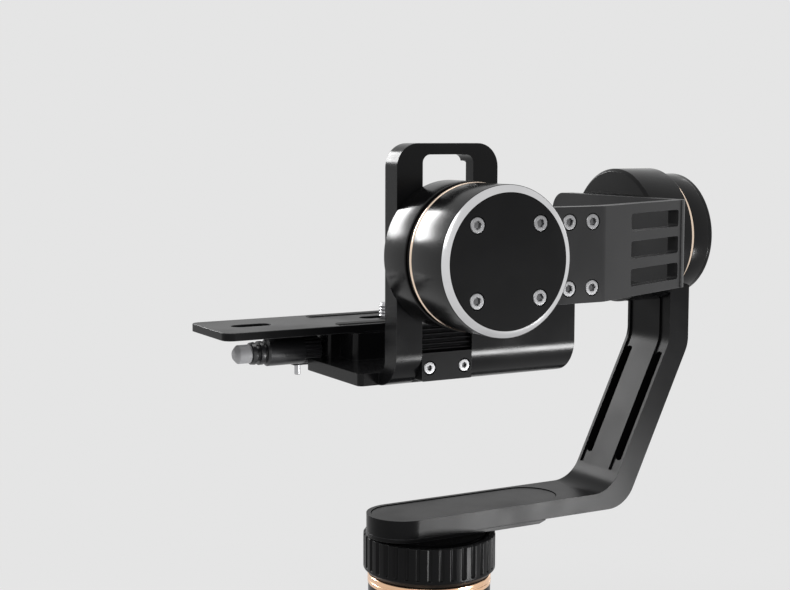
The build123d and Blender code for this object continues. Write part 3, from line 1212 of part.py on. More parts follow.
# ================================================================ camera plate
with BuildPart() as camera_plate:
    with BuildSketch(level(AXIS_HEIGHT + CAMERA_PLATE_BOTTOM)):
        with Locations((RAIL_X, (RAIL_REAR_Y + CAMERA_PLATE_FRONT_Y) / 2)):
            RectangleRounded(
                CAMERA_PLATE_W, CAMERA_PLATE_FRONT_Y - RAIL_REAR_Y, CAMERA_PLATE_CORNER_R
            )
    extrude(amount=CAMERA_PLATE_T)
    with BuildSketch(facing_back(KEEL_FRONT_Y)):
        with BuildLine():
            Polyline(
                (RAIL_X - KEEL_TOP_W / 2, CAMERA_PLATE_BOTTOM),
                (RAIL_X - KEEL_BOTTOM_W / 2, KEEL_BOTTOM),
                (RAIL_X + KEEL_BOTTOM_W / 2, KEEL_BOTTOM),
                (RAIL_X + KEEL_TOP_W / 2, CAMERA_PLATE_BOTTOM), close=True,
            )
        make_face()
    extrude(amount=KEEL_FRONT_Y - KEEL_REAR_Y)
    # Slot for the camera screw: narrow above, wide below for its head.
    with BuildSketch(level(AXIS_HEIGHT + CAMERA_FACE)):
        with Locations((RAIL_X, CAMERA_SCREW_Y)):
            SlotOverall(CAMERA_SLOT_L, 2 * (CAMERA_SCREW_R + TURN_GAP), rotation=90)
        with Locations((RAIL_X, CAMERA_PLATE_FRONT_Y - FRONT_SLOT_SETBACK)):
            SlotOverall(FRONT_SLOT_L, 2 * (CAMERA_SCREW_R + TURN_GAP), rotation=90)
    extrude(amount=-CAMERA_PLATE_T - KEEL_H, mode=Mode.SUBTRACT)
    with BuildSketch(level(AXIS_HEIGHT + KEEL_BOTTOM)):
        with Locations((RAIL_X, CAMERA_SCREW_Y)):
            SlotOverall(HEAD_SLOT_L, 2 * (CAMERA_SCREW_HEAD_R + 2 * TURN_GAP), rotation=90)
    extrude(amount=CAMERA_SCREW_HEAD_T + TURN_GAP, mode=Mode.SUBTRACT)
    with BuildSketch(level(AXIS_HEIGHT + CAMERA_FACE)):
        with Locations((RAIL_X, CAMERA_SCREW_Y)):
            with GridLocations(CAMERA_PLATE_W - 2 * PAD_INSET, 0, 2, 1):
                RectangleRounded(PAD_W, PAD_L, 1.5)
    extrude(amount=-PAD_RECESS, mode=Mode.SUBTRACT)
finish(camera_plate, "camera_plate")

with BuildPart() as camera_plate_pads:
    with BuildSketch(level(AXIS_HEIGHT + CAMERA_FACE - PAD_RECESS)):
        with Locations((RAIL_X, CAMERA_SCREW_Y)):
            with GridLocations(CAMERA_PLATE_W - 2 * PAD_INSET, 0, 2, 1):
                RectangleRounded(PAD_W - 4 * FIT_GAP, PAD_L - 4 * FIT_GAP, 1.4)
    extrude(amount=PAD_T)
finish(camera_plate_pads, "camera_plate_pads")

# Camera screw, 1/4 inch, with a coin slot in its head.
with BuildPart() as camera_screw:
    with BuildSketch(level(AXIS_HEIGHT + KEEL_BOTTOM + 0.1)):
        with Locations((RAIL_X, CAMERA_SCREW_Y)):
            Circle(CAMERA_SCREW_HEAD_R)
    extrude(amount=CAMERA_SCREW_HEAD_T)
    with BuildSketch(level(AXIS_HEIGHT + KEEL_BOTTOM + 2.0)):
        with Locations((RAIL_X, CAMERA_SCREW_Y)):
            Circle(CAMERA_SCREW_NECK_R)
    extrude(amount=CAMERA_FACE - KEEL_BOTTOM - 2.0)
    with BuildSketch(level(AXIS_HEIGHT + CAMERA_FACE)):
        with Locations((RAIL_X, CAMERA_SCREW_Y)):
            Circle(CAMERA_SCREW_R)
    extrude(amount=CAMERA_SCREW_UP)
    with BuildSketch(level(AXIS_HEIGHT + KEEL_BOTTOM + 0.1)):
        with Locations((RAIL_X, CAMERA_SCREW_Y)):
            Rectangle(COIN_SLOT_W, COIN_SLOT_L)
    extrude(amount=COIN_SLOT_DEPTH, mode=Mode.SUBTRACT)
finish(camera_screw, "camera_screw")
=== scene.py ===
"""Looks of a handheld three-axis gimbal stabilizer.

The CAD solids carry the motion.  The pieces here stand in for the visible ones, with eased edges,
turned surfaces and real finishes.  All lengths are in metres, in the frame of the part: +Z up along
the handle, +Y the way the lens looks, +X to the user's right.
"""
import json
import logging
import math
from dataclasses import dataclass, field, replace
from enum import Enum
from typing import Callable, Iterable, Sequence

import bmesh
import bpy
from mathutils import Matrix, Quaternion, Vector


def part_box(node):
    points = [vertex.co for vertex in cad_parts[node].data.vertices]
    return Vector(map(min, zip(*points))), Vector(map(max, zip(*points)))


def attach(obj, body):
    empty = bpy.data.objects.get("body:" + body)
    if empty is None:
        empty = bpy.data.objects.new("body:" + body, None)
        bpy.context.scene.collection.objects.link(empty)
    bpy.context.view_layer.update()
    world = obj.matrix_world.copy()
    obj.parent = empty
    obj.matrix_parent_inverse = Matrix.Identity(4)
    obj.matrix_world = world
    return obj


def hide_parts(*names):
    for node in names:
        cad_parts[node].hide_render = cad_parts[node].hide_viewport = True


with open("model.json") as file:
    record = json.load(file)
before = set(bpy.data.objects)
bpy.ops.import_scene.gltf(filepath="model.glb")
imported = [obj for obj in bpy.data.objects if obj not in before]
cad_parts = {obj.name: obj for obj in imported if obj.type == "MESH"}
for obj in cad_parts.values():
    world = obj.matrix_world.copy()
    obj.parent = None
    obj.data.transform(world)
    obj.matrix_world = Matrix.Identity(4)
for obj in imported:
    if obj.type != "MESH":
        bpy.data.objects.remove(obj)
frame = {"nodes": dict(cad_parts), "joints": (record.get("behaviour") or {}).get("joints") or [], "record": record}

LOG = logging.getLogger("stabilizer")
MM = 0.001
SMOOTH_FACETS = 256             # round a wide turned piece with a mirror finish
FINE_FACETS = 192               # round a ring
UP = Vector((0, 0, 1))
FRONT = Vector((0, 1, 0))
REAR = -FRONT
RIGHT = Vector((1, 0, 0))
LEFT = -RIGHT
EDGE_LAYER = "edge"
WELD = 1e-7                     # corners nearer than this are one
CAD_WELD = 2e-6                 # the same for the corners of a CAD mesh
SOLID_WELD = 1e-6               # the same, where its solids are told apart
FLAT_ENOUGH = math.radians(0.6)  # faces of a CAD mesh that lean less are one
SHALLOW_CREASE = 24.0           # degrees, for the long plates' shallow creases
NO_LENGTH = 1e-9                # a side shorter than this has no direction
SLIGHT_TURN = math.radians(12)  # an outline's corner that turns less stays as it is
LARGEST_SHARE = 0.42            # of a side, that the rounding of its corner may take
SAME_WAY = 0.9                  # cosine above which two directions count as one
SAME_RADIUS = 0.01 * MM         # two radii nearer than this are one
BROAD_FACE_WEIGHT = 60          # how much a broad face's normal outweighs a narrow one's
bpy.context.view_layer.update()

Profile = list[tuple[float, float]]
Colour = tuple[float, float, float]
Shape = Callable[[float, float, float], float]
Socket = bpy.types.NodeSocket


# ---------------------------------------------------------------------------- frame readings
def joint_place(name: str) -> Vector:
    """Place of a joint at rest.

    Args:
        name: The joint's name in the record.

    Returns:
        The joint's position in the frame of the part.
    """
    found = [joint for joint in frame["joints"] if joint["name"] == name]
    return Vector(found[0]["pos_m"])


TILT_CENTRE = joint_place("tilt")
ROLL_CENTRE = joint_place("roll")
AXIS_Z = TILT_CENTRE.z


class Turn(Enum):
    """Axis that a turned piece is made round."""

    X = 0
    Y = 1
    Z = 2

    def point(self, centre: Vector, station: float, radius: float, angle: float) -> Vector:
        """Point of a turned surface.

        Args:
            centre: Any point on the axis.
            station: Place along the axis, in the frame of the part.
            radius: Distance from the axis.
            angle: Angle about the axis, in radians.

        Returns:
            The point in the frame of the part.
        """
        across, up = radius * math.cos(angle), radius * math.sin(angle)
        if self is Turn.X:
            return Vector((station, centre.y + across, centre.z + up))
        if self is Turn.Y:
            return Vector((centre.x - across, station, centre.z + up))
        return Vector((centre.x + across, centre.y + up, station))


# ---------------------------------------------------------------------------- mesh tools
def eased(profile: Profile, ease: float, steps: int = 4) -> Profile:
    """Round the corners of a closed outline.

    Args:
        profile: Corner points in order.
        ease: Radius of the rounding, limited to a share of the shorter side.
        steps: Segments in each rounding.

    Returns:
        The outline with an arc in place of each sharp corner that is off the axis.
    """
    result: Profile = []
    count = len(profile)
    for index, corner in enumerate(profile):
        here = Vector(corner)
        before = Vector(profile[index - 1]) - here
        after = Vector(profile[(index + 1) % count]) - here
        if corner[1] <= 0 or min(before.length, after.length) < NO_LENGTH:
            result.append(corner)
            continue
        turn = math.pi - before.angle(after)
        if turn < SLIGHT_TURN:
            result.append(corner)
            continue
        longest = LARGEST_SHARE * min(before.length, after.length)
        reach = min(ease * math.tan(turn / 2), longest)
        start = here + before.normalized() * reach
        end = here + after.normalized() * reach
        for step in range(steps + 1):
            share = step / steps
            point = start * (1 - share) ** 2 + here * 2 * share * (1 - share) + end * share**2
            result.append((point.x, point.y))
    return result


def new_object(name: str, data: bpy.types.ID) -> bpy.types.Object:
    """Link a mesh, lamp or camera to the scene as an object at the origin.

    Args:
        name: Name of the new object.
        data: What the object shows.

    Returns:
        The object.
    """
    piece = bpy.data.objects.new(name, data)
    bpy.context.scene.collection.objects.link(piece)
    return piece


def mesh_of(name: str, made: bmesh.types.BMesh) -> bpy.types.Mesh:
    """Turn a worked mesh into a stored one and free it.

    Args:
        name: Name of the new mesh.
        made: The worked mesh.

    Returns:
        The stored mesh.
    """
    mesh = bpy.data.meshes.new(name)
    made.to_mesh(mesh)
    made.free()
    return mesh


def smooth(mesh: bpy.types.Mesh, angle: float = 32.0) -> None:
    """Shade a mesh smooth, with its creases kept sharp.

    Args:
        mesh: The mesh to shade.
        angle: Creases of more than this many degrees stay sharp.
    """
    mesh.polygons.foreach_set("use_smooth", [True] * len(mesh.polygons))
    mesh.set_sharp_from_angle(angle=math.radians(angle))


def lathe(
    name: str,
    turn: Turn,
    centre: Vector,
    profile: Profile,
    ease: float = 0.3 * MM,
    segments: int = 160,
    shape: Shape | None = None,
) -> bpy.types.Object:
    """Turn a closed outline round an axis.

    Args:
        name: Name of the new piece.
        turn: The axis.
        centre: A point on the axis.
        profile: Outline as (station, radius) corners, in order.
        ease: Rounding of the outline's corners.
        segments: Facets round the axis.
        shape: Optional change of radius, given station, radius and angle.

    Returns:
        The new piece.
    """
    outline = eased(profile, ease) if ease else profile
    made = bmesh.new()
    rings = []
    for station, radius in outline:
        ring = []
        for index in range(segments):
            angle = 2 * math.pi * index / segments
            reach = shape(station, radius, angle) if shape else radius
            ring.append(made.verts.new(turn.point(centre, station, reach, angle)))
        rings.append(ring)
    for first, second in zip(rings, rings[1:] + rings[:1]):
        for index in range(segments):
            follow = (index + 1) % segments
            made.faces.new((first[index], first[follow], second[follow], second[index]))
    bmesh.ops.remove_doubles(made, verts=made.verts, dist=WELD)
    bmesh.ops.dissolve_degenerate(made, dist=WELD, edges=made.edges)
    bmesh.ops.recalc_face_normals(made, faces=made.faces)
    mesh = mesh_of(name, made)
    smooth(mesh)
    return new_object(name, mesh)


def apply_modifiers(piece: bpy.types.Object) -> None:
    """Bake a piece's modifiers into its mesh, so that none stays on it.

    Args:
        piece: The piece that is changed.
    """
    graph = bpy.context.evaluated_depsgraph_get()
    mesh = bpy.data.meshes.new_from_object(piece.evaluated_get(graph))
    piece.modifiers.clear()
    piece.data = mesh


def cut(piece: bpy.types.Object, cutters: Iterable[bpy.types.Object], join: bool = False) -> None:
    """Cut other meshes out of a piece, or fuse them into it, and remove them.

    Args:
        piece: The piece that is changed.
        cutters: The meshes to take away or to add.
        join: Fuse in place of cutting.
    """
    cutters = list(cutters)
    for cutter in cutters:
        step = piece.modifiers.new("cut", "BOOLEAN")
        step.operation = "UNION" if join else "DIFFERENCE"
        step.solver = "EXACT"
        step.object = cutter
    apply_modifiers(piece)
    for cutter in cutters:
        bpy.data.objects.remove(cutter)


def level_normals(piece: bpy.types.Object) -> None:
    """Weigh a piece's corner normals by the size of its faces, so that broad faces shade flat.

    Args:
        piece: The piece that is changed.
    """
    step = piece.modifiers.new("normals", "WEIGHTED_NORMAL")
    step.mode = "FACE_AREA"
    step.weight = BROAD_FACE_WEIGHT
    step.keep_sharp = True
    apply_modifiers(piece)


def mark_edges(mesh: bpy.types.Mesh) -> None:
    """Note the rounded creases in a face attribute, which the mask of rubbed edges and painted edge highlights
    reads.

    Args:
        mesh: A mesh whose rounded creases lie in its second material slot.
    """
    creases = [0] * len(mesh.polygons)
    mesh.polygons.foreach_get("material_index", creases)
    layer = mesh.attributes.new(EDGE_LAYER, "FLOAT", "FACE")
    layer.data.foreach_set("value", [float(crease) for crease in creases])
    mesh.polygons.foreach_set("material_index", [0] * len(creases))
    mesh.materials.clear()


def merged(name: str, pieces: Sequence[bpy.types.Object]) -> bpy.types.Object:
    """Put several pieces into one mesh and remove them.

    Args:
        name: Name of the new piece.
        pieces: The pieces, in any number.

    Returns:
        The new piece.
    """
    made = bmesh.new()
    for piece in pieces:
        made.from_mesh(piece.data)
        bpy.data.objects.remove(piece)
    mesh = mesh_of(name, made)
    smooth(mesh)
    return new_object(name, mesh)


def slab(
    name: str, turn: Turn, low: float, high: float, outline: Profile, ease: float
) -> bpy.types.Object:
    """Prism with eased edges.

    Args:
        name: Name of the new piece.
        turn: The axis that the outline is drawn out along.
        low: Lower end on that axis.
        high: Upper end on that axis.
        outline: Corners in the other two axes, in order.
        ease: Rounding of the edges.

    Returns:
        The new piece.
    """
    made = bmesh.new()
    others = [axis for axis in range(3) if axis != turn.value]
    rims = []
    for station in (low, high):
        rim = []
        for first, second in outline:
            place = Vector()
            place[turn.value], place[others[0]], place[others[1]] = station, first, second
            rim.append(made.verts.new(place))
        rims.append(rim)
    made.faces.new(rims[0])
    made.faces.new(list(reversed(rims[1])))
    for index in range(len(outline)):
        follow = (index + 1) % len(outline)
        made.faces.new((rims[0][index], rims[0][follow], rims[1][follow], rims[1][index]))
    bmesh.ops.recalc_face_normals(made, faces=made.faces)
    piece = new_object(name, mesh_of(name, made))
    ease_edges(piece, ease)
    return piece


def arc(
    centre: tuple[float, float], radius: float, start: float, end: float, steps: int
) -> Profile:
    """Points of an arc.

    Args:
        centre: Its centre.
        radius: Its radius.
        start: First angle in degrees.
        end: Last angle in degrees.
        steps: Segments.

    Returns:
        The points, both ends among them.
    """
    angles = [math.radians(start + (end - start) * step / steps) for step in range(steps + 1)]
    return [
        (centre[0] + radius * math.cos(angle), centre[1] + radius * math.sin(angle))
        for angle in angles
    ]


def ease_edges(
    piece: bpy.types.Object, width: float, segments: int = 3, angle: float = 28.0
) -> None:
    """Round every crease of a piece and shade it.

    Args:
        piece: The piece that is changed.
        width: Width of the rounding.
        segments: Facets across it.
        angle: Only creases of more than this many degrees are rounded.
    """
    made = bmesh.new()
    made.from_mesh(piece.data)
    bmesh.ops.remove_doubles(made, verts=made.verts, dist=CAD_WELD)
    bmesh.ops.dissolve_limit(
        made, angle_limit=FLAT_ENOUGH, verts=made.verts, edges=made.edges, delimit=set()
    )
    bmesh.ops.recalc_face_normals(made, faces=made.faces)
    made.to_mesh(piece.data)
    made.free()
    piece.data.materials.clear()
    for _ in range(2):
        piece.data.materials.append(None)
    step = piece.modifiers.new("ease", "BEVEL")
    step.material = 1
    step.width = width
    step.segments = segments
    step.limit_method = "ANGLE"
    step.angle_limit = math.radians(angle)
    step.use_clamp_overlap = True
    apply_modifiers(piece)
    mark_edges(piece.data)
    smooth(piece.data)
    level_normals(piece)


def softened(node: str, width: float, segments: int = 3, angle: float = 28.0) -> bpy.types.Object:
    """Copy of a CAD node with its creases rounded.

    Args:
        node: Name of the node.
        width: Width of the rounding.
        segments: Facets across it.
        angle: Only creases of more than this many degrees are rounded.

    Returns:
        The new piece.
    """
    piece = new_object(node + "_dressed", frame["nodes"][node].data.copy())
    piece.data.materials.clear()
    ease_edges(piece, width, segments, angle)
    return piece


# ---------------------------------------------------------------------------- shader groups
CLOUDS_PER_METRE = 90.0         # slow drift of the roughness
EDGE_BREAKS_PER_METRE = 700.0         # breaks along a rubbed edge and its painted highlight
HANDLED_BAND = (0.42, 0.68)     # noise values over which a handled patch fades in


def node_group(
    name: str,
    inputs: Sequence[tuple[str, str, float | None]],
    outputs: Sequence[tuple[str, str]],
) -> tuple[bpy.types.NodeTree, bpy.types.Node, bpy.types.Node]:
    """Start a shader node group.

    Args:
        name: Name of the group.
        inputs: (name, socket type, default or None) of each input.
        outputs: (name, socket type) of each output.

    Returns:
        The tree, its input node and its output node.
    """
    tree = bpy.data.node_groups.new(name, "ShaderNodeTree")
    for label, kind, default in inputs:
        socket = tree.interface.new_socket(name=label, in_out="INPUT", socket_type=kind)
        if default is not None:
            socket.default_value = default
    for label, kind in outputs:
        tree.interface.new_socket(name=label, in_out="OUTPUT", socket_type=kind)
    return tree, tree.nodes.new("NodeGroupInput"), tree.nodes.new("NodeGroupOutput")


def calc(
    tree: bpy.types.NodeTree, operation: str, *values: Socket | float, clamp: bool = False
) -> Socket:
    """Add a Math node.

    Args:
        tree: The tree that it goes into.
        operation: The node's operation.
        *values: Sockets or numbers, one per input.
        clamp: Keep the result between 0 and 1.

    Returns:
        The node's result.
    """
    node = tree.nodes.new("ShaderNodeMath")
    node.operation = operation
    node.use_clamp = clamp
    for index, value in enumerate(values):
        if isinstance(value, (int, float)):
            node.inputs[index].default_value = value
        else:
            tree.links.new(value, node.inputs[index])
    return node.outputs[0]


def vector_calc(tree: bpy.types.NodeTree, operation: str, *values: Socket) -> bpy.types.Node:
    """Add a Vector Math node.

    Args:
        tree: The tree that it goes into.
        operation: The node's operation.
        *values: Sockets, one per input.  One that carries a number sets the node's scale.

    Returns:
        The node, whose result is a vector or a number after its operation.
    """
    node = tree.nodes.new("ShaderNodeVectorMath")
    node.operation = operation
    for index, value in enumerate(values):
        tree.links.new(value, node.inputs["Scale" if value.type == "VALUE" else index])
    return node


def noise(
    tree: bpy.types.NodeTree, place: Socket, scale: Socket | float, detail: float
) -> Socket:
    """Add a Noise node.

    Args:
        tree: The tree that it goes into.
        place: Where the noise is read.
        scale: Its patches per metre.
        detail: Finer layers added to it.

    Returns:
        The noise's value.
    """
    node = tree.nodes.new("ShaderNodeTexNoise")
    node.inputs["Detail"].default_value = detail
    if isinstance(scale, (int, float)):
        node.inputs["Scale"].default_value = scale
    else:
        tree.links.new(scale, node.inputs["Scale"])
    tree.links.new(place, node.inputs["Vector"])
    return node.outputs[0]


def blasted_grain_group() -> bpy.types.NodeTree:
    """Fine even grain of blasted or moulded surfaces: height and a roughness that wanders.

    Returns:
        The group.
    """
    tree, given, made = node_group(
        "blasted_grain",
        [
            ("Place", "NodeSocketVector", None), ("Grains per metre", "NodeSocketFloat", 3000.0),
            ("Roughness", "NodeSocketFloat", 0.4), ("Spread", "NodeSocketFloat", 0.06),
        ],
        [("Roughness", "NodeSocketFloat"), ("Height", "NodeSocketFloat")],
    )
    fine = noise(tree, given.outputs["Place"], given.outputs["Grains per metre"], 2.0)
    coarse = noise(tree, given.outputs["Place"], CLOUDS_PER_METRE, 3.0)
    wander = calc(tree, "SUBTRACT", calc(tree, "ADD", fine, coarse), 1.0)
    spread = calc(tree, "MULTIPLY", wander, given.outputs["Spread"])
    tree.links.new(
        calc(tree, "ADD", given.outputs["Roughness"], spread, clamp=True), made.inputs["Roughness"]
    )
    tree.links.new(fine, made.inputs["Height"])
    return tree


def turned_lines_group() -> bpy.types.NodeTree:
    """Marks of a lathe tool: fine rings about an axis, on faces and on walls alike.

    Returns:
        The group.
    """
    tree, given, made = node_group(
        "turned_lines",
        [
            ("Place", "NodeSocketVector", None), ("Centre", "NodeSocketVector", None),
            ("Axis", "NodeSocketVector", None), ("Lines per metre", "NodeSocketFloat", 6000.0),
        ],
        [("Height", "NodeSocketFloat")],
    )
    offset = vector_calc(tree, "SUBTRACT", given.outputs["Place"], given.outputs["Centre"])
    along = vector_calc(tree, "DOT_PRODUCT", offset.outputs[0], given.outputs["Axis"])
    stem = vector_calc(tree, "SCALE", given.outputs["Axis"], along.outputs["Value"])
    spoke = vector_calc(tree, "SUBTRACT", offset.outputs[0], stem.outputs[0])
    reach = vector_calc(tree, "LENGTH", spoke.outputs[0])
    path = calc(tree, "ADD", reach.outputs["Value"], along.outputs["Value"])
    rings = tree.nodes.new("ShaderNodeTexNoise")
    rings.noise_dimensions = "1D"
    rings.inputs["Scale"].default_value = 1.0
    rings.inputs["Detail"].default_value = 3.0
    tree.links.new(
        calc(tree, "MULTIPLY", path, given.outputs["Lines per metre"]), rings.inputs["W"]
    )
    tree.links.new(rings.outputs[0], made.inputs["Height"])
    return tree


def handling_marks_group() -> bpy.types.NodeTree:
    """Faint cloudy patches where hands and cloths have been: a mask from 0 to 1.

    Returns:
        The group.
    """
    tree, given, made = node_group(
        "handling_marks",
        [("Place", "NodeSocketVector", None), ("Patches per metre", "NodeSocketFloat", 40.0)],
        [("Mask", "NodeSocketFloat")],
    )
    cloud = noise(tree, given.outputs["Place"], given.outputs["Patches per metre"], 4.0)
    band = tree.nodes.new("ShaderNodeMapRange")
    band.interpolation_type = "SMOOTHSTEP"
    band.inputs["From Min"].default_value, band.inputs["From Max"].default_value = HANDLED_BAND
    tree.links.new(cloud, band.inputs["Value"])
    tree.links.new(band.outputs[0], made.inputs["Mask"])
    return tree


# Painted highlight as well as rubbing: the mask lightens every rounded crease, standing in partly for the light
# that edges catch.
def edge_glint_and_wear_group() -> bpy.types.NodeTree:
    """Bare rubbed edges with a painted highlight along them: a mask that is broken up along each rounded crease.

    Returns:
        The group.
    """
    tree, given, made = node_group(
        "edge_glint_and_wear",
        [("Place", "NodeSocketVector", None), ("Amount", "NodeSocketFloat", 0.3)],
        [("Mask", "NodeSocketFloat")],
    )
    edge = tree.nodes.new("ShaderNodeAttribute")
    edge.attribute_name = EDGE_LAYER
    broken = noise(tree, given.outputs["Place"], EDGE_BREAKS_PER_METRE, 4.0)
    share = calc(tree, "MULTIPLY", edge.outputs["Fac"], broken)
    tree.links.new(
        calc(tree, "MULTIPLY", share, given.outputs["Amount"], clamp=True), made.inputs["Mask"]
    )
    return tree


GROUPS: dict[str, bpy.types.NodeTree] = {
    tree.name: tree
    for tree in (
        blasted_grain_group(), turned_lines_group(), handling_marks_group(), edge_glint_and_wear_group(),
    )
}


# ---------------------------------------------------------------------------- finishes
GRAIN_HEIGHT = 0.02 * MM        # of the blasted grain, at a Bump strength of 1
LINE_HEIGHT = 0.01 * MM         # of the lathe marks
HANDLED_GAIN = 1.10             # a handled patch is lighter by this factor
HANDLED_LIFT = 0.0008           # and by this much on any colour


@dataclass(frozen=True)
class Turning:
    """Lathe marks of a turned piece: their axis, how many to the metre and how deep."""

    turn: Turn
    centre: tuple[float, float, float]
    lines: float = 5200.0
    depth: float = 0.35


@dataclass(frozen=True)
class Finish:
    """One finish of the stabilizer and what varies over its surface.

    Colours are scene-linear.  grain_depth and the turning's depth are the strength of a Bump node,
    spread says how far the grain shifts the roughness, and marks how far handling does.  The edge
    mask lightens the rounded creases: partly rubbed bare metal, partly a painted highlight.
    """

    name: str
    colour: Colour
    metal: float
    rough: float
    spread: float = 0.05
    grains: float = 2600.0
    grain_depth: float = 0.12
    marks: float = 0.06
    # Rubbed edges with a painted edge highlight: how strongly, and towards what colour, the rounded creases are
    # lightened.
    wear: float = 0.0
    worn_colour: Colour = (0.35, 0.35, 0.36)
    ior: float = 1.5
    specular: float = 0.5
    coat: float = 0.0
    coat_rough: float = 0.1
    turning: Turning | None = None

    def material(self) -> bpy.types.Material:
        """Build the material.

        Returns:
            The material, with its groups placed and their values set.
        """
        made = bpy.data.materials.new(self.name)
        made.use_nodes = True
        tree = made.node_tree
        shader = tree.nodes["Principled BSDF"]
        shader.inputs["Metallic"].default_value = self.metal
        shader.inputs["IOR"].default_value = self.ior
        shader.inputs["Specular IOR Level"].default_value = self.specular
        shader.inputs["Coat Weight"].default_value = self.coat
        shader.inputs["Coat Roughness"].default_value = self.coat_rough
        place = tree.nodes.new("ShaderNodeTexCoord").outputs["Object"]
        grain = self._group(tree, "blasted_grain", place, {
            "Grains per metre": self.grains, "Roughness": self.rough, "Spread": self.spread,
        })
        marks = self._group(tree, "handling_marks", place, {})
        wear = self._group(tree, "edge_glint_and_wear", place, {"Amount": self.wear})
        soiled = calc(tree, "MULTIPLY", marks.outputs["Mask"], self.marks)
        tree.links.new(
            calc(tree, "ADD", grain.outputs["Roughness"], soiled, clamp=True),
            shader.inputs["Roughness"],
        )
        shade = self._mix(tree, marks.outputs["Mask"], self.colour, self._shifted())
        # Paler rounded creases: rubbed bare metal and a painted highlight along the edges.
        with_glint_and_wear = self._mix(tree, wear.outputs["Mask"], shade, self.worn_colour)
        tree.links.new(with_glint_and_wear, shader.inputs["Base Color"])
        normal = self._bump(tree, grain.outputs["Height"], self.grain_depth, GRAIN_HEIGHT, None)
        if self.turning:
            axis = tuple(1.0 if index == self.turning.turn.value else 0.0 for index in range(3))
            lines = self._group(tree, "turned_lines", place, {
                "Centre": self.turning.centre, "Axis": axis,
                "Lines per metre": self.turning.lines,
            })
            normal = self._bump(
                tree, lines.outputs["Height"], self.turning.depth, LINE_HEIGHT, normal
            )
        tree.links.new(normal, shader.inputs["Normal"])
        made.diffuse_color = (*self.colour, 1.0)
        return made

    def _shifted(self) -> Colour:
        """Colour of a handled patch: a little lighter, as skin oil is on a dark finish."""
        return tuple(min(1.0, channel * HANDLED_GAIN + HANDLED_LIFT) for channel in self.colour)

    @staticmethod
    def _group(
        tree: bpy.types.NodeTree, name: str, place: Socket, values: dict[str, float | Colour]
    ) -> bpy.types.Node:
        """Place a group in a material with its values.

        Args:
            tree: The material's tree.
            name: Name of the group.
            place: Object coordinates.
            values: Value of each input that differs from the group's own.

        Returns:
            The group's node.
        """
        node = tree.nodes.new("ShaderNodeGroup")
        node.node_tree = GROUPS[name]
        tree.links.new(place, node.inputs["Place"])
        for label, value in values.items():
            node.inputs[label].default_value = value
        return node

    @staticmethod
    def _mix(
        tree: bpy.types.NodeTree, mask: Socket, under: Socket | Colour, over: Colour
    ) -> Socket:
        """Lay a colour over another one by a mask.

        Args:
            tree: The material's tree.
            mask: 0 where the lower colour shows, 1 where the upper one does.
            under: The lower colour, or a socket that carries it.
            over: The upper colour.

        Returns:
            The mixed colour.
        """
        node = tree.nodes.new("ShaderNodeMix")
        node.data_type = "RGBA"
        tree.links.new(mask, node.inputs["Factor"])
        lower, upper = (socket for socket in node.inputs if socket.type == "RGBA")
        if isinstance(under, tuple):
            lower.default_value = (*under, 1.0)
        else:
            tree.links.new(under, lower)
        upper.default_value = (*over, 1.0)
        return next(socket for socket in node.outputs if socket.type == "RGBA")

    @staticmethod
    def _bump(
        tree: bpy.types.NodeTree,
        height: Socket,
        strength: float,
        distance: float,
        under: Socket | None,
    ) -> Socket:
        """Add a Bump node, on top of another normal where one is given.

        Args:
            tree: The material's tree.
            height: The height that it reads.
            strength: Strength of the bump.
            distance: Height in metres that a value of 1 stands for.
            under: The normal below it, if any.

        Returns:
            The new normal.
        """
        node = tree.nodes.new("ShaderNodeBump")
        node.inputs["Strength"].default_value = strength
        node.inputs["Distance"].default_value = distance
        tree.links.new(height, node.inputs["Height"])
        if under is not None:
            tree.links.new(under, node.inputs["Normal"])
        return node.outputs["Normal"]


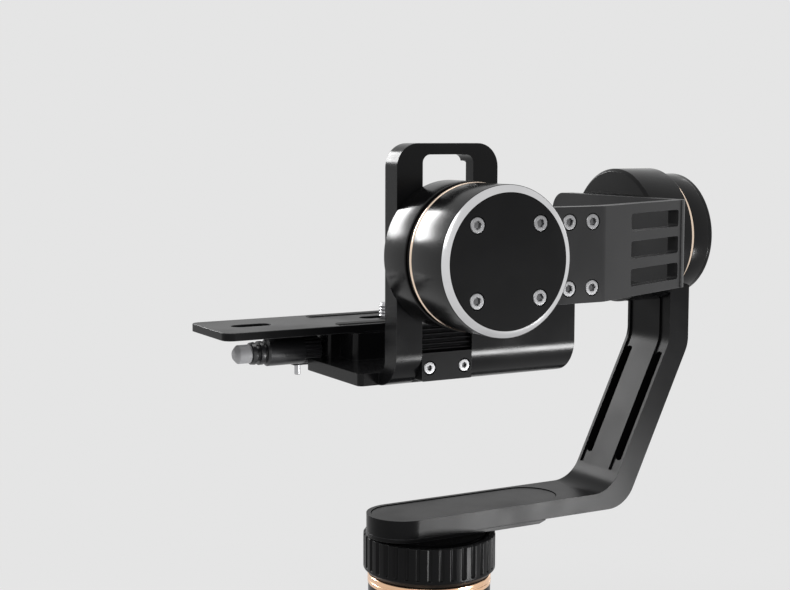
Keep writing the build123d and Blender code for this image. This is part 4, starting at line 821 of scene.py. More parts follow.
class Slot(Enum):
    """Material slots of the record by name, with the finish of each."""

    # The edge amounts below lighten the rounded creases, partly as rubbed bare metal, partly as a painted
    # highlight along the edges.
    BLACK_ANODISED = Finish(
        "black_anodised", (0.0048, 0.0048, 0.0052), 0.0, 0.29, spread=0.05, grain_depth=0.10,
        ior=1.20, wear=0.55, worn_colour=(0.12, 0.12, 0.125),
    )
    GLOSS_BLACK = Finish(
        "gloss_black", (0.002, 0.002, 0.0022), 0.0, 0.17, spread=0.03, grain_depth=0.02,
        ior=1.3, marks=0.05,
    )
    SILVER_BEVEL = Finish(
        "silver_bevel", (0.70, 0.70, 0.71), 1.0, 0.16, spread=0.04, grain_depth=0.02,
    )
    ROSE_GOLD = Finish(
        "rose_gold", (0.86, 0.56, 0.36), 1.0, 0.18, spread=0.05, grain_depth=0.03,
    )
    SCREW_STEEL = Finish(
        "screw_steel", (0.24, 0.24, 0.245), 1.0, 0.38, spread=0.08, grain_depth=0.08,
    )
    GRIP_RUBBER = Finish(
        "grip_rubber", (0.010, 0.010, 0.010), 0.0, 0.62, spread=0.08, grains=1500.0,
        grain_depth=0.45, specular=0.22, marks=0.08,
    )
    HANDLE_METAL = Finish(
        "handle_metal", (0.0048, 0.0048, 0.0052), 0.0, 0.30, spread=0.05, grain_depth=0.10,
        ior=1.20, wear=0.35, worn_colour=(0.10, 0.10, 0.105),
    )
    CONTROL_PLASTIC = Finish(
        "control_plastic", (0.007, 0.007, 0.0075), 0.0, 0.42, grains=1800.0, grain_depth=0.25,
        specular=0.3,
    )
    BUTTON_PLASTIC = Finish(
        "button_plastic", (0.09, 0.09, 0.095), 0.0, 0.36, grains=2000.0, grain_depth=0.15,
    )
    LAMP_LENS = Finish(
        "lamp_lens", (0.30, 0.42, 0.32), 0.0, 0.18, spread=0.03, grain_depth=0.02, coat=0.4,
    )
    BOARD_GREEN = Finish(
        "board_green", (0.015, 0.09, 0.045), 0.0, 0.40, grains=900.0, grain_depth=0.20,
    )
    BRASS_INSERT = Finish(
        "brass_insert", (0.56, 0.40, 0.17), 1.0, 0.28, spread=0.08, grain_depth=0.08,
    )
    CELL_WRAP = Finish(
        "cell_wrap", (0.03, 0.09, 0.22), 0.0, 0.26, spread=0.05, grain_depth=0.06, coat=0.3,
    )
    STEEL = Finish(
        "steel", (0.42, 0.42, 0.43), 1.0, 0.28, spread=0.08, grain_depth=0.06,
    )
    STATOR_IRON = Finish(
        "stator_iron", (0.16, 0.15, 0.14), 1.0, 0.45, grains=1200.0, grain_depth=0.25,
    )
    KNOB_METAL = Finish(
        "knob_metal", (0.020, 0.020, 0.022), 0.0, 0.30, spread=0.06, grain_depth=0.12,
        specular=0.6, wear=0.2, worn_colour=(0.16, 0.16, 0.165),
    )
    PAD_RUBBER = Finish(
        "pad_rubber", (0.014, 0.014, 0.014), 0.0, 0.62, spread=0.08, grains=1600.0,
        grain_depth=0.4, specular=0.25,
    )


# The bracket's strong pale creases paint the highlights along its edges as well as rubbed metal.
BRACKET_BLACK = Finish(
    "bracket_black", (0.0044, 0.0044, 0.0048), 0.0, 0.20, spread=0.05, grain_depth=0.07,
    ior=1.26, wear=0.7, worn_colour=(0.16, 0.16, 0.165),
)
# Painted light: the strap's black is lighter than the other anodised parts, standing in for the light its flat
# faces catch; its strong pale creases also paint highlights along its edges.
STRAP_PAINTED_LIGHT_BLACK = Finish(
    "strap_black_painted_light", (0.0200, 0.0200, 0.0206), 0.0, 0.30, spread=0.05, grain_depth=0.10,
    ior=1.26, wear=0.8, worn_colour=(0.20, 0.20, 0.205),
)
PALE_GOLD = Finish(
    "pale_gold", (0.90, 0.72, 0.57), 1.0, 0.20, spread=0.05, grain_depth=0.03,
)
FACE_BLACK = Finish(
    "face_black", (0.0055, 0.0055, 0.0058), 0.0, 0.42, spread=0.05, grains=3200.0,
    grain_depth=0.14, ior=1.15, marks=0.05,
)
SOFT_GREY = Finish(
    "soft_grey", (0.34, 0.34, 0.35), 0.0, 0.50, spread=0.06, grains=1500.0, grain_depth=0.2,
    specular=0.35,
)


class Finishes:
    """Materials made so far, one per finish."""

    made: dict[Finish, bpy.types.Material] = {}

    @classmethod
    def get(cls, finish: Finish) -> bpy.types.Material:
        """Material of a finish, built when first asked for.

        Args:
            finish: The finish.

        Returns:
            Its material.
        """
        if finish not in cls.made:
            cls.made[finish] = finish.material()
        return cls.made[finish]


# ---------------------------------------------------------------------------- placing pieces
@dataclass(frozen=True)
class Extent:
    """Where a turned CAD node lies along its axis, and how far it reaches from it."""

    low: float
    high: float
    radius: float


def extent(node: str, turn: Turn) -> Extent:
    """Read a turned node's extent from its box.

    Args:
        node: Name of the CAD node.
        turn: The axis that it was turned about.

    Returns:
        The extent.
    """
    low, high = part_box(node)
    side = 0 if turn is not Turn.X else 1
    return Extent(low[turn.value], high[turn.value], (high[side] - low[side]) / 2)


def body_of(node: str) -> str:
    """Find the body that carries a node.

    Args:
        node: Name of the CAD node.

    Returns:
        The body's name.
    """
    for body, nodes in frame["record"]["behaviour"]["bodies"].items():
        if node in nodes:
            return body
    raise KeyError(node)


def slot_of(node: str) -> Slot:
    """Find the material slot of a node.

    Args:
        node: Name of the CAD node.

    Returns:
        The slot.
    """
    for row in frame["record"]["subparts"]:
        if row["node"] == node:
            return Slot[row["material_slot"].upper()]
    raise KeyError(node)


def dress(
    piece: bpy.types.Object, node: str, finish: Finish | None = None, replaces: bool = True
) -> bpy.types.Object:
    """Give a piece its finish, its body and the node that it stands for.

    Args:
        piece: The new piece.
        node: The CAD node whose body carries the piece.
        finish: Finish to use in place of the slot's own.
        replaces: Hide the node, because the piece stands for it.

    Returns:
        The piece.
    """
    slot = slot_of(node)
    piece.data.materials.clear()
    piece.data.materials.append(Finishes.get(finish or slot.value))
    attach(piece, body_of(node))
    if replaces:
        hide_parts(node)
    LOG.info("%s: %d faces", piece.name, len(piece.data.polygons))
    return piece


def turned_finish(base: Finish, turn: Turn, centre: Vector, **changes: float) -> Finish:
    """Finish with lathe marks about an axis.

    Args:
        base: The finish without its marks.
        turn: The axis that the piece was turned about.
        centre: A point on that axis.
        **changes: Values of the Turning that differ from its own.

    Returns:
        The finish.
    """
    lines = Turning(turn, tuple(round(value, 6) for value in centre), **changes)
    return replace(base, name=base.name + "_turned_" + turn.name.lower(), turning=lines)


def islands(node: str) -> list[tuple[Vector, Vector]]:
    """Measure a node's separate solids.

    Args:
        node: Name of the CAD node.

    Returns:
        The least and greatest corner of each solid's box, in a steady order.
    """
    made = bmesh.new()
    made.from_mesh(frame["nodes"][node].data)
    bmesh.ops.remove_doubles(made, verts=made.verts, dist=SOLID_WELD)
    left = set(made.verts)
    boxes = []
    for seed in list(made.verts):
        if seed not in left:
            continue
        group, front = [], [seed]
        left.discard(seed)
        while front:
            vert = front.pop()
            group.append(vert.co.copy())
            for edge in vert.link_edges:
                other = edge.other_vert(vert)
                if other in left:
                    left.discard(other)
                    front.append(other)
        low = Vector([min(point[axis] for point in group) for axis in range(3)])
        high = Vector([max(point[axis] for point in group) for axis in range(3)])
        boxes.append((low, high))
    made.free()
    return sorted(boxes, key=lambda box: tuple(round(value, 5) for value in box[0]))


@dataclass
class HexScrews:
    """Countersunk hex screws of one node.

    Each has an eased rim, a dished top, a deep socket and, in the piece that holds it, a seat.
    """

    node: str
    outs: tuple[Vector, ...]
    head: float = 2.75 * MM
    shank: float = 1.5 * MM
    socket: float = 1.5 * MM
    socket_depth: float = 1.6 * MM
    socket_tip: float = 0.5 * MM
    rim: float = 0.2 * MM
    rim_wall: float = 0.05 * MM
    rim_ease: float = 0.08 * MM
    dish: float = 0.1 * MM
    dish_flare: float = 1.2 * MM
    seat_gap: float = 0.26 * MM
    seat_rim: float = 0.12 * MM
    above: float = 1.0 * MM
    below: float = 12.0 * MM
    spin: float = 0.83      # radians from one screw to the next, so that no two sockets align
    facets: int = 48
    seat_facets: int = 64
    crease: float = 25.0    # degrees

    def _one(self, length: float) -> bpy.types.Mesh:
        """Shape one screw, with its face at the origin and its shank down Z.

        Args:
            length: Length of the screw, its head included.

        Returns:
            The screw's mesh.
        """
        cone = self.head - self.shank
        profile = [
            (0.0, 0.0), (0.0, self.head - self.rim), (-self.rim, self.head),
            (-self.rim - self.rim_wall, self.head), (-cone, self.shank), (-length, self.shank),
            (-length, 0.0),
        ]
        piece = lathe("screw", Turn.Z, Vector(), profile, self.rim_ease, self.facets)
        hexagon = lathe(
            "socket", Turn.Z, Vector(),
            [
                (self.above, 0.0), (self.above, self.socket), (-self.socket_depth, self.socket),
                (-self.socket_depth - self.socket_tip, 0.0),
            ],
            0.0, 6,
        )
        funnel = lathe(
            "funnel", Turn.Z, Vector(),
            [
                (self.above, 0.0), (self.above, self.socket + self.dish_flare),
                (-self.dish, self.socket - self.rim_wall), (-self.dish, 0.0),
            ],
            0.0, self.facets,
        )
        cut(piece, [hexagon, funnel])
        smooth(piece.data, self.crease)
        mesh = piece.data
        bpy.data.objects.remove(piece)
        return mesh

    def _places(self) -> list[tuple[Matrix, float]]:
        """Find the node's screws in its solids.

        Returns:
            Place and length of each screw, its face at the place's origin and its head up Z.
        """
        places = []
        for index, (low, high) in enumerate(islands(self.node)):
            size = high - low
            out = min(self.outs, key=lambda way: self._misfit(way, size))
            centre = (low + high) / 2
            axis = max(range(3), key=lambda number: abs(out[number]))
            centre[axis] = high[axis] if out[axis] > 0 else low[axis]
            turn = out.to_track_quat("Z", "Y").to_matrix().to_4x4()
            spin = Matrix.Rotation(index * self.spin, 4, "Z")
            places.append((Matrix.Translation(centre) @ turn @ spin, size[axis]))
        return places

    def build(self) -> bpy.types.Object:
        """Build all the screws of the node as one piece.

        Returns:
            The piece.
        """
        made = bmesh.new()
        for place, length in self._places():
            mesh = self._one(length)
            mesh.transform(place)
            made.from_mesh(mesh)
            bpy.data.meshes.remove(mesh)
        joined = mesh_of(self.node + "_heads", made)
        smooth(joined, self.crease)
        return dress(new_object(self.node + "_heads", joined), self.node)

    def seat(self, piece: bpy.types.Object, way: Vector) -> bpy.types.Object:
        """Cut the screws' countersunk seats into a piece.

        Args:
            piece: The piece that the heads lie in.
            way: Only screws whose heads face this way are let in.

        Returns:
            The piece.
        """
        reach, bore = self.head + self.seat_gap, self.shank + self.seat_gap
        lip = 0.02 * MM
        profile = [
            (self.above, 0.0), (self.above, reach + self.seat_rim), (lip, reach + self.seat_rim),
            (-self.seat_rim - lip, reach), (-self.rim - self.dish, reach),
            (self.shank - self.head - self.dish, bore), (-self.below, bore), (-self.below, 0.0),
        ]
        cutters = []
        for place, _ in self._places():
            if (place.to_3x3() @ UP).dot(way) > SAME_WAY:
                cutter = lathe("seat", Turn.Z, Vector(), profile, 0.0, self.seat_facets)
                cutter.data.transform(place)
                cutters.append(cutter)
        cut(piece, cutters)
        smooth(piece.data)
        level_normals(piece)
        return piece

    @staticmethod
    def _misfit(way: Vector, size: Vector) -> float:
        """How badly a direction fits a screw's box: its other two sides should be equal."""
        sides = [size[index] for index in range(3) if abs(way[index]) < 0.5]
        return abs(sides[0] - sides[1])


def ridges(count: int, depth: float, width: float, radius: float) -> Callable[[float], float]:
    """Depth of evenly spaced round flutes at an angle.

    Args:
        count: Flutes round the piece.
        depth: Depth at the middle of a flute.
        width: Half width of a flute.
        radius: Radius of the piece.

    Returns:
        A function from angle to depth.
    """
    pitch = 2 * math.pi / count

    def flute(angle: float) -> float:
        """Depth at an angle, in radians, with a round bottom and none between the flutes."""
        aside = abs((angle + pitch / 2) % pitch - pitch / 2) * radius / width
        return depth * (1 - aside * aside) if aside < 1 else 0.0

    return flute


def ramp(value: float, start: float, end: float) -> float:
    """Smooth step from 0 at start to 1 at end."""
    share = min(1.0, max(0.0, (value - start) / (end - start)))
    return share * share * (3 - 2 * share)


def threaded(major: float, pitch: float, depth: float) -> Shape:
    """Radius of a screw thread on the stations where the outline is at its full radius.

    Args:
        major: Radius of the outline where it is threaded.
        pitch: Advance in one turn.
        depth: Depth of the groove, below zero for a thread inside a bore.

    Returns:
        A shape for lathe().
    """

    def shape(station: float, radius: float, angle: float) -> float:
        """Radius of the thread, or of the outline where it isn't threaded.

        Args:
            station: Place along the axis.
            radius: Radius of the outline there.
            angle: Angle about the axis.

        Returns:
            The radius there.
        """
        if abs(radius - major) > SAME_RADIUS:
            return radius
        turn = (station / pitch - angle / (2 * math.pi)) % 1.0
        return radius - depth * (1 - abs(2 * turn - 1))

    return shape


# ---------------------------------------------------------------------------- sub-assemblies
@dataclass
class Handle:
    """Tube of the handle with its grip, head, rings, foot cap and tripod thread."""

    tube_ease: float = 0.3 * MM
    head_ease: float = 0.35 * MM
    cap_ease: float = 0.35 * MM
    ring_wall: float = 3.0 * MM
    ring_bevel: float = 0.25 * MM
    ring_ease: float = 0.12 * MM
    ring_groove: float = 0.2 * MM
    ring_groove_top: float = 0.45 * MM
    ring_groove_floor: float = 0.3 * MM
    grip_radius: float = 22.8 * MM
    grip_foot: float = 0.4 * MM
    grip_groove_r: float = 1.6 * MM
    grip_groove_rise: float = 0.6 * MM
    grip_grooves: int = 9
    tube_radius: float = 21.0 * MM
    dimples: int = 84
    dimple_depth: float = 0.16 * MM
    dimple_row: float = 1.0 * MM
    thread_bore: float = 3.2 * MM
    thread_pitch: float = 1.27 * MM
    thread_depth: float = 0.33 * MM

    def build(self) -> None:
        """Build the tube, grip, head, rings and cap."""
        self.rings()
        self.grip()
        self.tripod_thread()
        dress(softened("handle_tube", self.tube_ease), "handle_tube")
        dress(softened("handle_head", self.head_ease), "handle_head")
        dress(softened("battery_cap", self.cap_ease), "battery_cap")

    def rings(self) -> None:
        """Two rose-gold rings with a groove at their middle."""
        axis = Vector()
        for node in ("copper_ring_top", "copper_ring_middle"):
            ring = extent(node, Turn.Z)
            inner = ring.radius - self.ring_wall
            middle = (ring.low + ring.high) / 2
            profile = [
                (ring.low, inner), (ring.low, ring.radius - self.ring_bevel),
                (ring.low + self.ring_bevel, ring.radius),
                (middle - self.ring_groove_top, ring.radius),
                (middle - self.ring_groove_floor, ring.radius - self.ring_groove),
                (middle + self.ring_groove_floor, ring.radius - self.ring_groove),
                (middle + self.ring_groove_top, ring.radius),
                (ring.high - self.ring_bevel, ring.radius),
                (ring.high, ring.radius - self.ring_bevel), (ring.high, inner),
            ]
            piece = lathe(node + "_grooved", Turn.Z, axis, profile, self.ring_ease, FINE_FACETS)
            dress(piece, node, turned_finish(Slot.ROSE_GOLD.value, Turn.Z, axis))

    def grip(self) -> None:
        """Soft grip: rounded grooves between bands that are dimpled for hold."""
        sleeve = extent("grip_sleeve", Turn.Z)
        pitch = (sleeve.high - sleeve.low) / (self.grip_grooves + 1)
        round_off = self.grip_radius - self.tube_radius - self.grip_foot
        first, last = sleeve.low + round_off, sleeve.high - round_off
        round_centre = self.grip_radius - round_off
        groove_centre = self.grip_radius + self.grip_groove_rise
        stations: Profile = [(sleeve.low, self.tube_radius)]
        stations += arc((first, round_centre), round_off, 180, 90, 6)
        stations += self._band(first, sleeve.low + pitch)
        for index in range(1, self.grip_grooves + 1):
            middle = sleeve.low + pitch * index
            stations += arc((middle, groove_centre), self.grip_groove_r, 202, 338, 8)
            stations += self._band(middle, middle + pitch if index < self.grip_grooves else last)
        stations += arc((last, round_centre), round_off, 90, 0, 6)
        stations.append((sleeve.high, self.tube_radius))

        def dimpled(station: float, radius: float, angle: float) -> float:
            """Radius of the grip with its rows of dimples, each row set half a step aside.

            Args:
                station: Place along the axis.
                radius: Radius of the outline there.
                angle: Angle about the axis.

            Returns:
                The radius there.
            """
            if abs(radius - self.grip_radius) > SAME_RADIUS:
                return radius
            row = round((station - sleeve.low) / self.dimple_row)
            share = (angle * self.dimples / (2 * math.pi) + 0.5 * (row % 2)) % 1.0
            return radius - self.dimple_depth * (0.5 + 0.5 * math.cos(2 * math.pi * share))

        piece = lathe("grip_dimpled", Turn.Z, Vector(), stations, 0.0, self.dimples * 4, dimpled)
        smooth(piece.data, 60)
        dress(piece, "grip_sleeve")

    def _band(self, low: float, high: float) -> Profile:
        """Outline of a band between two grooves, with a station on each row of dimples.

        Args:
            low: Middle of the groove below.
            high: Middle of the groove above.

        Returns:
            The outline, clear of both grooves.
        """
        row, clear = self.dimple_row, self.grip_groove_r + 0.1 * MM
        start, end = math.ceil((low + clear) / row), math.floor((high - clear) / row)
        return [(station * row, self.grip_radius) for station in range(start, end + 1)]

    def tripod_thread(self) -> None:
        """Threaded insert in the foot."""
        insert = extent("tripod_insert", Turn.Z)
        steps = 96
        span = insert.high - insert.low
        wall = [(insert.high - span * step / steps, self.thread_bore) for step in range(steps + 1)]
        profile = [(insert.low, insert.radius), (insert.high, insert.radius), *wall]
        cut_in = threaded(self.thread_bore, self.thread_pitch, -self.thread_depth)
        piece = lathe("tripod_insert_threaded", Turn.Z, Vector(), profile, 0.0, 64, cut_in)
        dress(piece, "tripod_insert")


@dataclass
class Controls:
    """Joystick, buttons, lamps and socket on the head."""

    ease: float = 0.25 * MM
    lamp_ease: float = 0.12 * MM

    def build(self) -> None:
        """Build the visible controls."""
        for node in ("control_pad", "joystick", "mode_button", "power_button", "usb_socket"):
            dress(softened(node, self.ease, segments=2), node)
        dress(softened("status_lamps", self.lamp_ease, segments=2), "status_lamps")


@dataclass
class PanMotor:
    """Pan motor with its fluted lock collar."""

    flutes: int = 36
    flute_depth: float = 0.7 * MM
    flute_half_width: float = 0.98 * MM
    flute_start: float = 3.0 * MM
    flute_run: float = 0.6 * MM
    flute_inset: float = 0.4 * MM
    chamfer: float = 2.2 * MM
    bore: float = 24.3 * MM
    top_ease: float = 0.5 * MM
    base_ease: float = 0.2 * MM

    def build(self) -> None:
        """Build the collar and the motor's rim."""
        place = extent("lock_collar", Turn.Z)
        flute = ridges(self.flutes, self.flute_depth, self.flute_half_width, place.radius)
        start = place.low + self.flute_start
        steps = [start + self.flute_run * step / 5 for step in range(6)]
        profile = [
            (place.low, self.bore), (place.low, place.radius - self.chamfer),
            (place.low + self.chamfer, place.radius),
            *((station, place.radius) for station in steps),
            (place.high, place.radius), (place.high, self.bore),
        ]

        def shape(station: float, radius: float, angle: float) -> float:
            """Radius of the collar with its flutes.

            Args:
                station: Place along the axis.
                radius: Radius of the outline there.
                angle: Angle about the axis.

            Returns:
                The radius there.
            """
            share = ramp(station, start, start + self.flute_run)
            outside = ramp(radius, self.bore + self.flute_inset, place.radius - self.top_ease)
            return radius - flute(angle) * share * outside

        collar = lathe(
            "lock_collar_fluted", Turn.Z, Vector(), profile, self.top_ease, self.flutes * 16, shape
        )
        dress(collar, "lock_collar")
        dress(softened("pan_motor_base", self.base_ease, segments=2), "pan_motor_base")


@dataclass
class PanArm:
    """Bent arm from the pan motor up to the roll motor."""

    arm_ease: float = 0.6 * MM
    cover_ease: float = 0.3 * MM
    housing_front: float = -112.4 * MM
    housing_rear: float = -120.2 * MM
    housing_r: float = 25.8 * MM
    wall: float = 0.8 * MM
    skin: float = 0.02 * MM
    rear_ease: float = 0.2 * MM
    cover_bevel: float = 1.2 * MM
    groove_outer: float = 12.4 * MM
    groove_inner: float = 12.0 * MM
    groove_depth: float = 0.5 * MM

    def build(self) -> None:
        """Build the arm, its covers and screws."""
        screws = HexScrews("arm_screws", (-UP, REAR))
        dress(softened("pan_arm", self.arm_ease, angle=SHALLOW_CREASE), "pan_arm")
        dress(softened("arm_top_cover", self.cover_ease), "arm_top_cover")
        dress(softened("arm_base_cover", self.cover_ease), "arm_base_cover")
        self.housing_wall()
        self.rear_cover(screws)
        screws.build()

    def housing_wall(self) -> None:
        """Smooth turned wall of the roll motor's housing."""
        outer = self.housing_r + self.skin
        profile = [
            (self.housing_rear, outer - self.wall), (self.housing_rear, outer),
            (self.housing_front, outer), (self.housing_front, outer - self.wall),
        ]
        piece = lathe(
            "roll_housing_wall", Turn.Y, ROLL_CENTRE, profile, self.cover_ease, SMOOTH_FACETS
        )
        dress(piece, "pan_arm", Slot.GLOSS_BLACK.value, replaces=False)

    def rear_cover(self, screws: HexScrews) -> None:
        """Turned rear cover with a ring groove and the seats of its screws.

        Args:
            screws: The screws that hold it.
        """
        cover = extent("roll_rear_cover", Turn.Y)
        floor = cover.low + self.groove_depth
        profile = [
            (cover.high, 0.0), (cover.high, cover.radius),
            (cover.low + self.cover_bevel, cover.radius),
            (cover.low, cover.radius - self.cover_bevel), (cover.low, self.groove_outer),
            (floor, self.groove_inner), (floor, 0.0),
        ]
        piece = lathe(
            "roll_rear_turned", Turn.Y, ROLL_CENTRE, profile, self.rear_ease, SMOOTH_FACETS
        )
        finish = turned_finish(Slot.GLOSS_BLACK.value, Turn.Y, ROLL_CENTRE, depth=0.08)
        dress(screws.seat(piece, REAR), "roll_rear_cover", finish)


@dataclass
class TrimRing:
    """Thin pale gold ring at a motor's parting line, with a crowned edge."""

    node: str
    turn: Turn
    centre: Vector
    wall: float = 1.9 * MM
    crown: float = 0.22 * MM
    steps: int = 6

    def build(self) -> None:
        """Build the ring."""
        ring = extent(self.node, self.turn)
        step = (ring.high - ring.low) / self.steps
        outside = [
            (
                ring.low + step * index,
                ring.radius - self.crown * (1 - math.sin(math.pi * index / self.steps)),
            )
            for index in range(self.steps + 1)
        ]
        inner = ring.radius - self.wall
        profile = [(ring.low, inner), *outside, (ring.high, inner)]
        piece = lathe(self.node + "_crowned", self.turn, self.centre, profile, 0.0, FINE_FACETS)
        dress(piece, self.node, turned_finish(PALE_GOLD, self.turn, self.centre))


@dataclass
class RollMotor:
    """Roll motor's rotor, trim ring and the clamp that holds the strap's cross bar."""

    rotor_bevel: float = 1.2 * MM
    rotor_ease: float = 0.2 * MM
    rear_bevel: float = 0.3 * MM
    bore: float = 20.3 * MM
    shaft: float = 4.0 * MM
    web: float = 2.0 * MM
    clamp_ease: float = 0.35 * MM
    knob_ease: float = 0.25 * MM

    def build(self) -> None:
        """Build the rotor, ring, clamp and knob."""
        self.rotor()
        TrimRing("roll_trim_ring", Turn.Y, ROLL_CENTRE).build()
        dress(softened("cross_clamp", self.clamp_ease), "cross_clamp")
        dress(softened("roll_lock_knob", self.knob_ease), "roll_lock_knob")
        HexScrews("clamp_screws", (FRONT,)).build()

    def rotor(self) -> None:
        """Turned rotor with a bevel round its front."""
        drum = extent("roll_rotor", Turn.Y)
        profile = [
            (drum.high, self.shaft), (drum.high, drum.radius - self.rotor_bevel),
            (drum.high - self.rotor_bevel, drum.radius),
            (drum.low + self.rear_bevel, drum.radius), (drum.low, drum.radius - self.rear_bevel),
            (drum.low, self.bore), (drum.high - self.web, self.bore),
            (drum.high - self.web, self.shaft),
        ]
        piece = lathe(
            "roll_rotor_turned", Turn.Y, ROLL_CENTRE, profile, self.rotor_ease, SMOOTH_FACETS
        )
        finish = turned_finish(Slot.GLOSS_BLACK.value, Turn.Y, ROLL_CENTRE, depth=0.05)
        dress(piece, "roll_rotor", finish)


@dataclass
class RollStrap:
    """Flat strap from the roll motor round to the tilt motor."""

    ease: float = 0.4 * MM

    def build(self) -> None:
        """Build the strap and its screws."""
        screws = HexScrews("strap_screws", (LEFT,))
        strap = softened("roll_strap", self.ease, angle=SHALLOW_CREASE)
        dress(screws.seat(strap, LEFT), "roll_strap", STRAP_PAINTED_LIGHT_BLACK)
        screws.build()


@dataclass
class TiltMotor:
    """Tilt motor: shell, face cover in its bright bevel, trim ring and rotor."""

    face_bevel: float = 0.3 * MM
    face_ease: float = 0.12 * MM
    bevel_steps: int = 8
    bevel_bulge: float = 0.12 * MM
    bevel_land: float = 0.3 * MM
    bevel_gap: float = 0.05 * MM
    bevel_wall: float = 1.4 * MM
    wall_ease: float = 0.15 * MM
    wall_r: float = 26.0 * MM
    wall_end: float = -66.4 * MM
    inner_r: float = 23.6 * MM
    seat_r: float = 24.6 * MM
    seat_depth: float = 1.3 * MM
    web: float = -82.0 * MM
    web_t: float = 2.0 * MM
    boss_r: float = 9.0 * MM
    bearing_r: float = 8.0 * MM
    boss_end: float = -66.9 * MM
    ear_low: float = -71.0 * MM
    ear_high: float = -66.4 * MM
    ear_rear: float = -25.0 * MM
    ear_front: float = 1.0 * MM
    ear_half: float = 16.0 * MM
    ear_corner: float = 3.0 * MM
    ear_root: float = 1.0 * MM
    ear_ease: float = 0.3 * MM
    drum_start: float = -62.6 * MM
    neck_end: float = -64.7 * MM
    neck_r: float = 25.0 * MM
    bell_r: float = 22.6 * MM
    bell_end: float = -79.0 * MM
    bell_bore: float = 20.3 * MM
    rotor_web: float = -60.0 * MM
    rotor_ease: float = 0.45 * MM
    shaft: float = 4.0 * MM

    def build(self) -> None:
        """Build the motor from its face inwards."""
        screws = HexScrews("tilt_face_screws", (LEFT,))
        self.bevel_ring()
        self.face(screws)
        self.shell()
        TrimRing("tilt_trim_ring", Turn.X, TILT_CENTRE).build()
        self.rotor()
        screws.build()

    def face(self, screws: HexScrews) -> None:
        """Satin face cover with the seats of its screws.

        Args:
            screws: The screws that hold it.
        """
        cover = extent("tilt_face_cover", Turn.X)
        profile = [
            (cover.low, 0.0), (cover.low, cover.radius - self.face_bevel),
            (cover.low + self.face_bevel, cover.radius), (cover.high, cover.radius),
            (cover.high, 0.0),
        ]
        piece = lathe("tilt_face_turned", Turn.X, TILT_CENTRE, profile, self.face_ease, 224)
        dress(screws.seat(piece, LEFT), "tilt_face_cover", FACE_BLACK)

    def shell(self) -> None:
        """Turned shell with the ear that the strap is screwed to."""
        start = extent("tilt_shell", Turn.X).low
        seat = start + self.seat_depth
        wall = lathe(
            "wall", Turn.X, TILT_CENTRE,
            [
                (start, self.seat_r), (start, self.wall_r), (self.wall_end, self.wall_r),
                (self.wall_end, self.inner_r), (self.web + self.web_t, self.inner_r),
                (self.web + self.web_t, self.boss_r), (self.boss_end, self.boss_r),
                (self.boss_end, self.bearing_r), (self.web, self.bearing_r),
                (self.web, self.inner_r), (seat, self.inner_r), (seat, self.seat_r),
            ],
            self.wall_ease, SMOOTH_FACETS,
        )
        corner = self.ear_corner
        low, high = AXIS_Z - self.ear_half, AXIS_Z + self.ear_half
        hollow = self.wall_r - self.ear_root
        gap = math.degrees(math.acos((TILT_CENTRE.y - self.ear_front) / hollow))
        outline = [
            *arc((self.ear_rear + corner, low + corner), corner, 180, 270, 8),
            (self.ear_front, low),
            *arc((TILT_CENTRE.y, AXIS_Z), hollow, 180 + gap, 180 - gap, 32),
            (self.ear_front, high),
            *arc((self.ear_rear + corner, high - corner), corner, 90, 180, 8),
        ]
        ear = slab("ear", Turn.X, self.ear_low, self.ear_high, outline, self.ear_ease)
        dress(merged("tilt_shell_turned", [wall, ear]), "tilt_shell")

    def rotor(self) -> None:
        """Turned rotor: drum, neck and the bell inside the shell."""
        drum = extent("tilt_rotor", Turn.X)
        profile = [
            (drum.high, self.shaft), (drum.high, drum.radius), (self.drum_start, drum.radius),
            (self.drum_start, self.neck_r), (self.neck_end, self.neck_r),
            (self.neck_end, self.bell_r), (self.bell_end, self.bell_r),
            (self.bell_end, self.bell_bore), (self.rotor_web, self.bell_bore),
            (self.rotor_web, self.shaft),
        ]
        piece = lathe(
            "tilt_rotor_turned", Turn.X, TILT_CENTRE, profile, self.rotor_ease, SMOOTH_FACETS
        )
        dress(piece, "tilt_rotor")

    def bevel_ring(self) -> None:
        """Bright ring between the face and the wall, with a slightly crowned bevel."""
        ring = extent("tilt_bevel_ring", Turn.X)
        cover = extent("tilt_face_cover", Turn.X)
        wall = extent("tilt_shell", Turn.X)
        bore = cover.radius + self.bevel_gap
        face = (ring.low, bore + self.bevel_land)
        foot = (wall.low, ring.radius)
        run = Vector(foot) - Vector(face)
        out = Vector((-run.y, run.x)).normalized()
        slope = []
        for step in range(self.bevel_steps + 1):
            share = step / self.bevel_steps
            bulge = self.bevel_bulge * (4 * share * (1 - share) - 1)
            point = Vector(face) + run * share + out * bulge
            slope.append((max(point.x, ring.low), min(point.y, ring.radius)))
        profile = [
            (ring.high, bore), (ring.low, bore), *slope,
            (foot[0], ring.radius - self.bevel_wall), (ring.high, ring.radius - self.bevel_wall),
        ]
        piece = lathe("tilt_bevel_crowned", Turn.X, TILT_CENTRE, profile, 0.0, SMOOTH_FACETS)
        finish = turned_finish(Slot.SILVER_BEVEL.value, Turn.X, TILT_CENTRE, depth=0.1)
        dress(piece, "tilt_bevel_ring", finish)


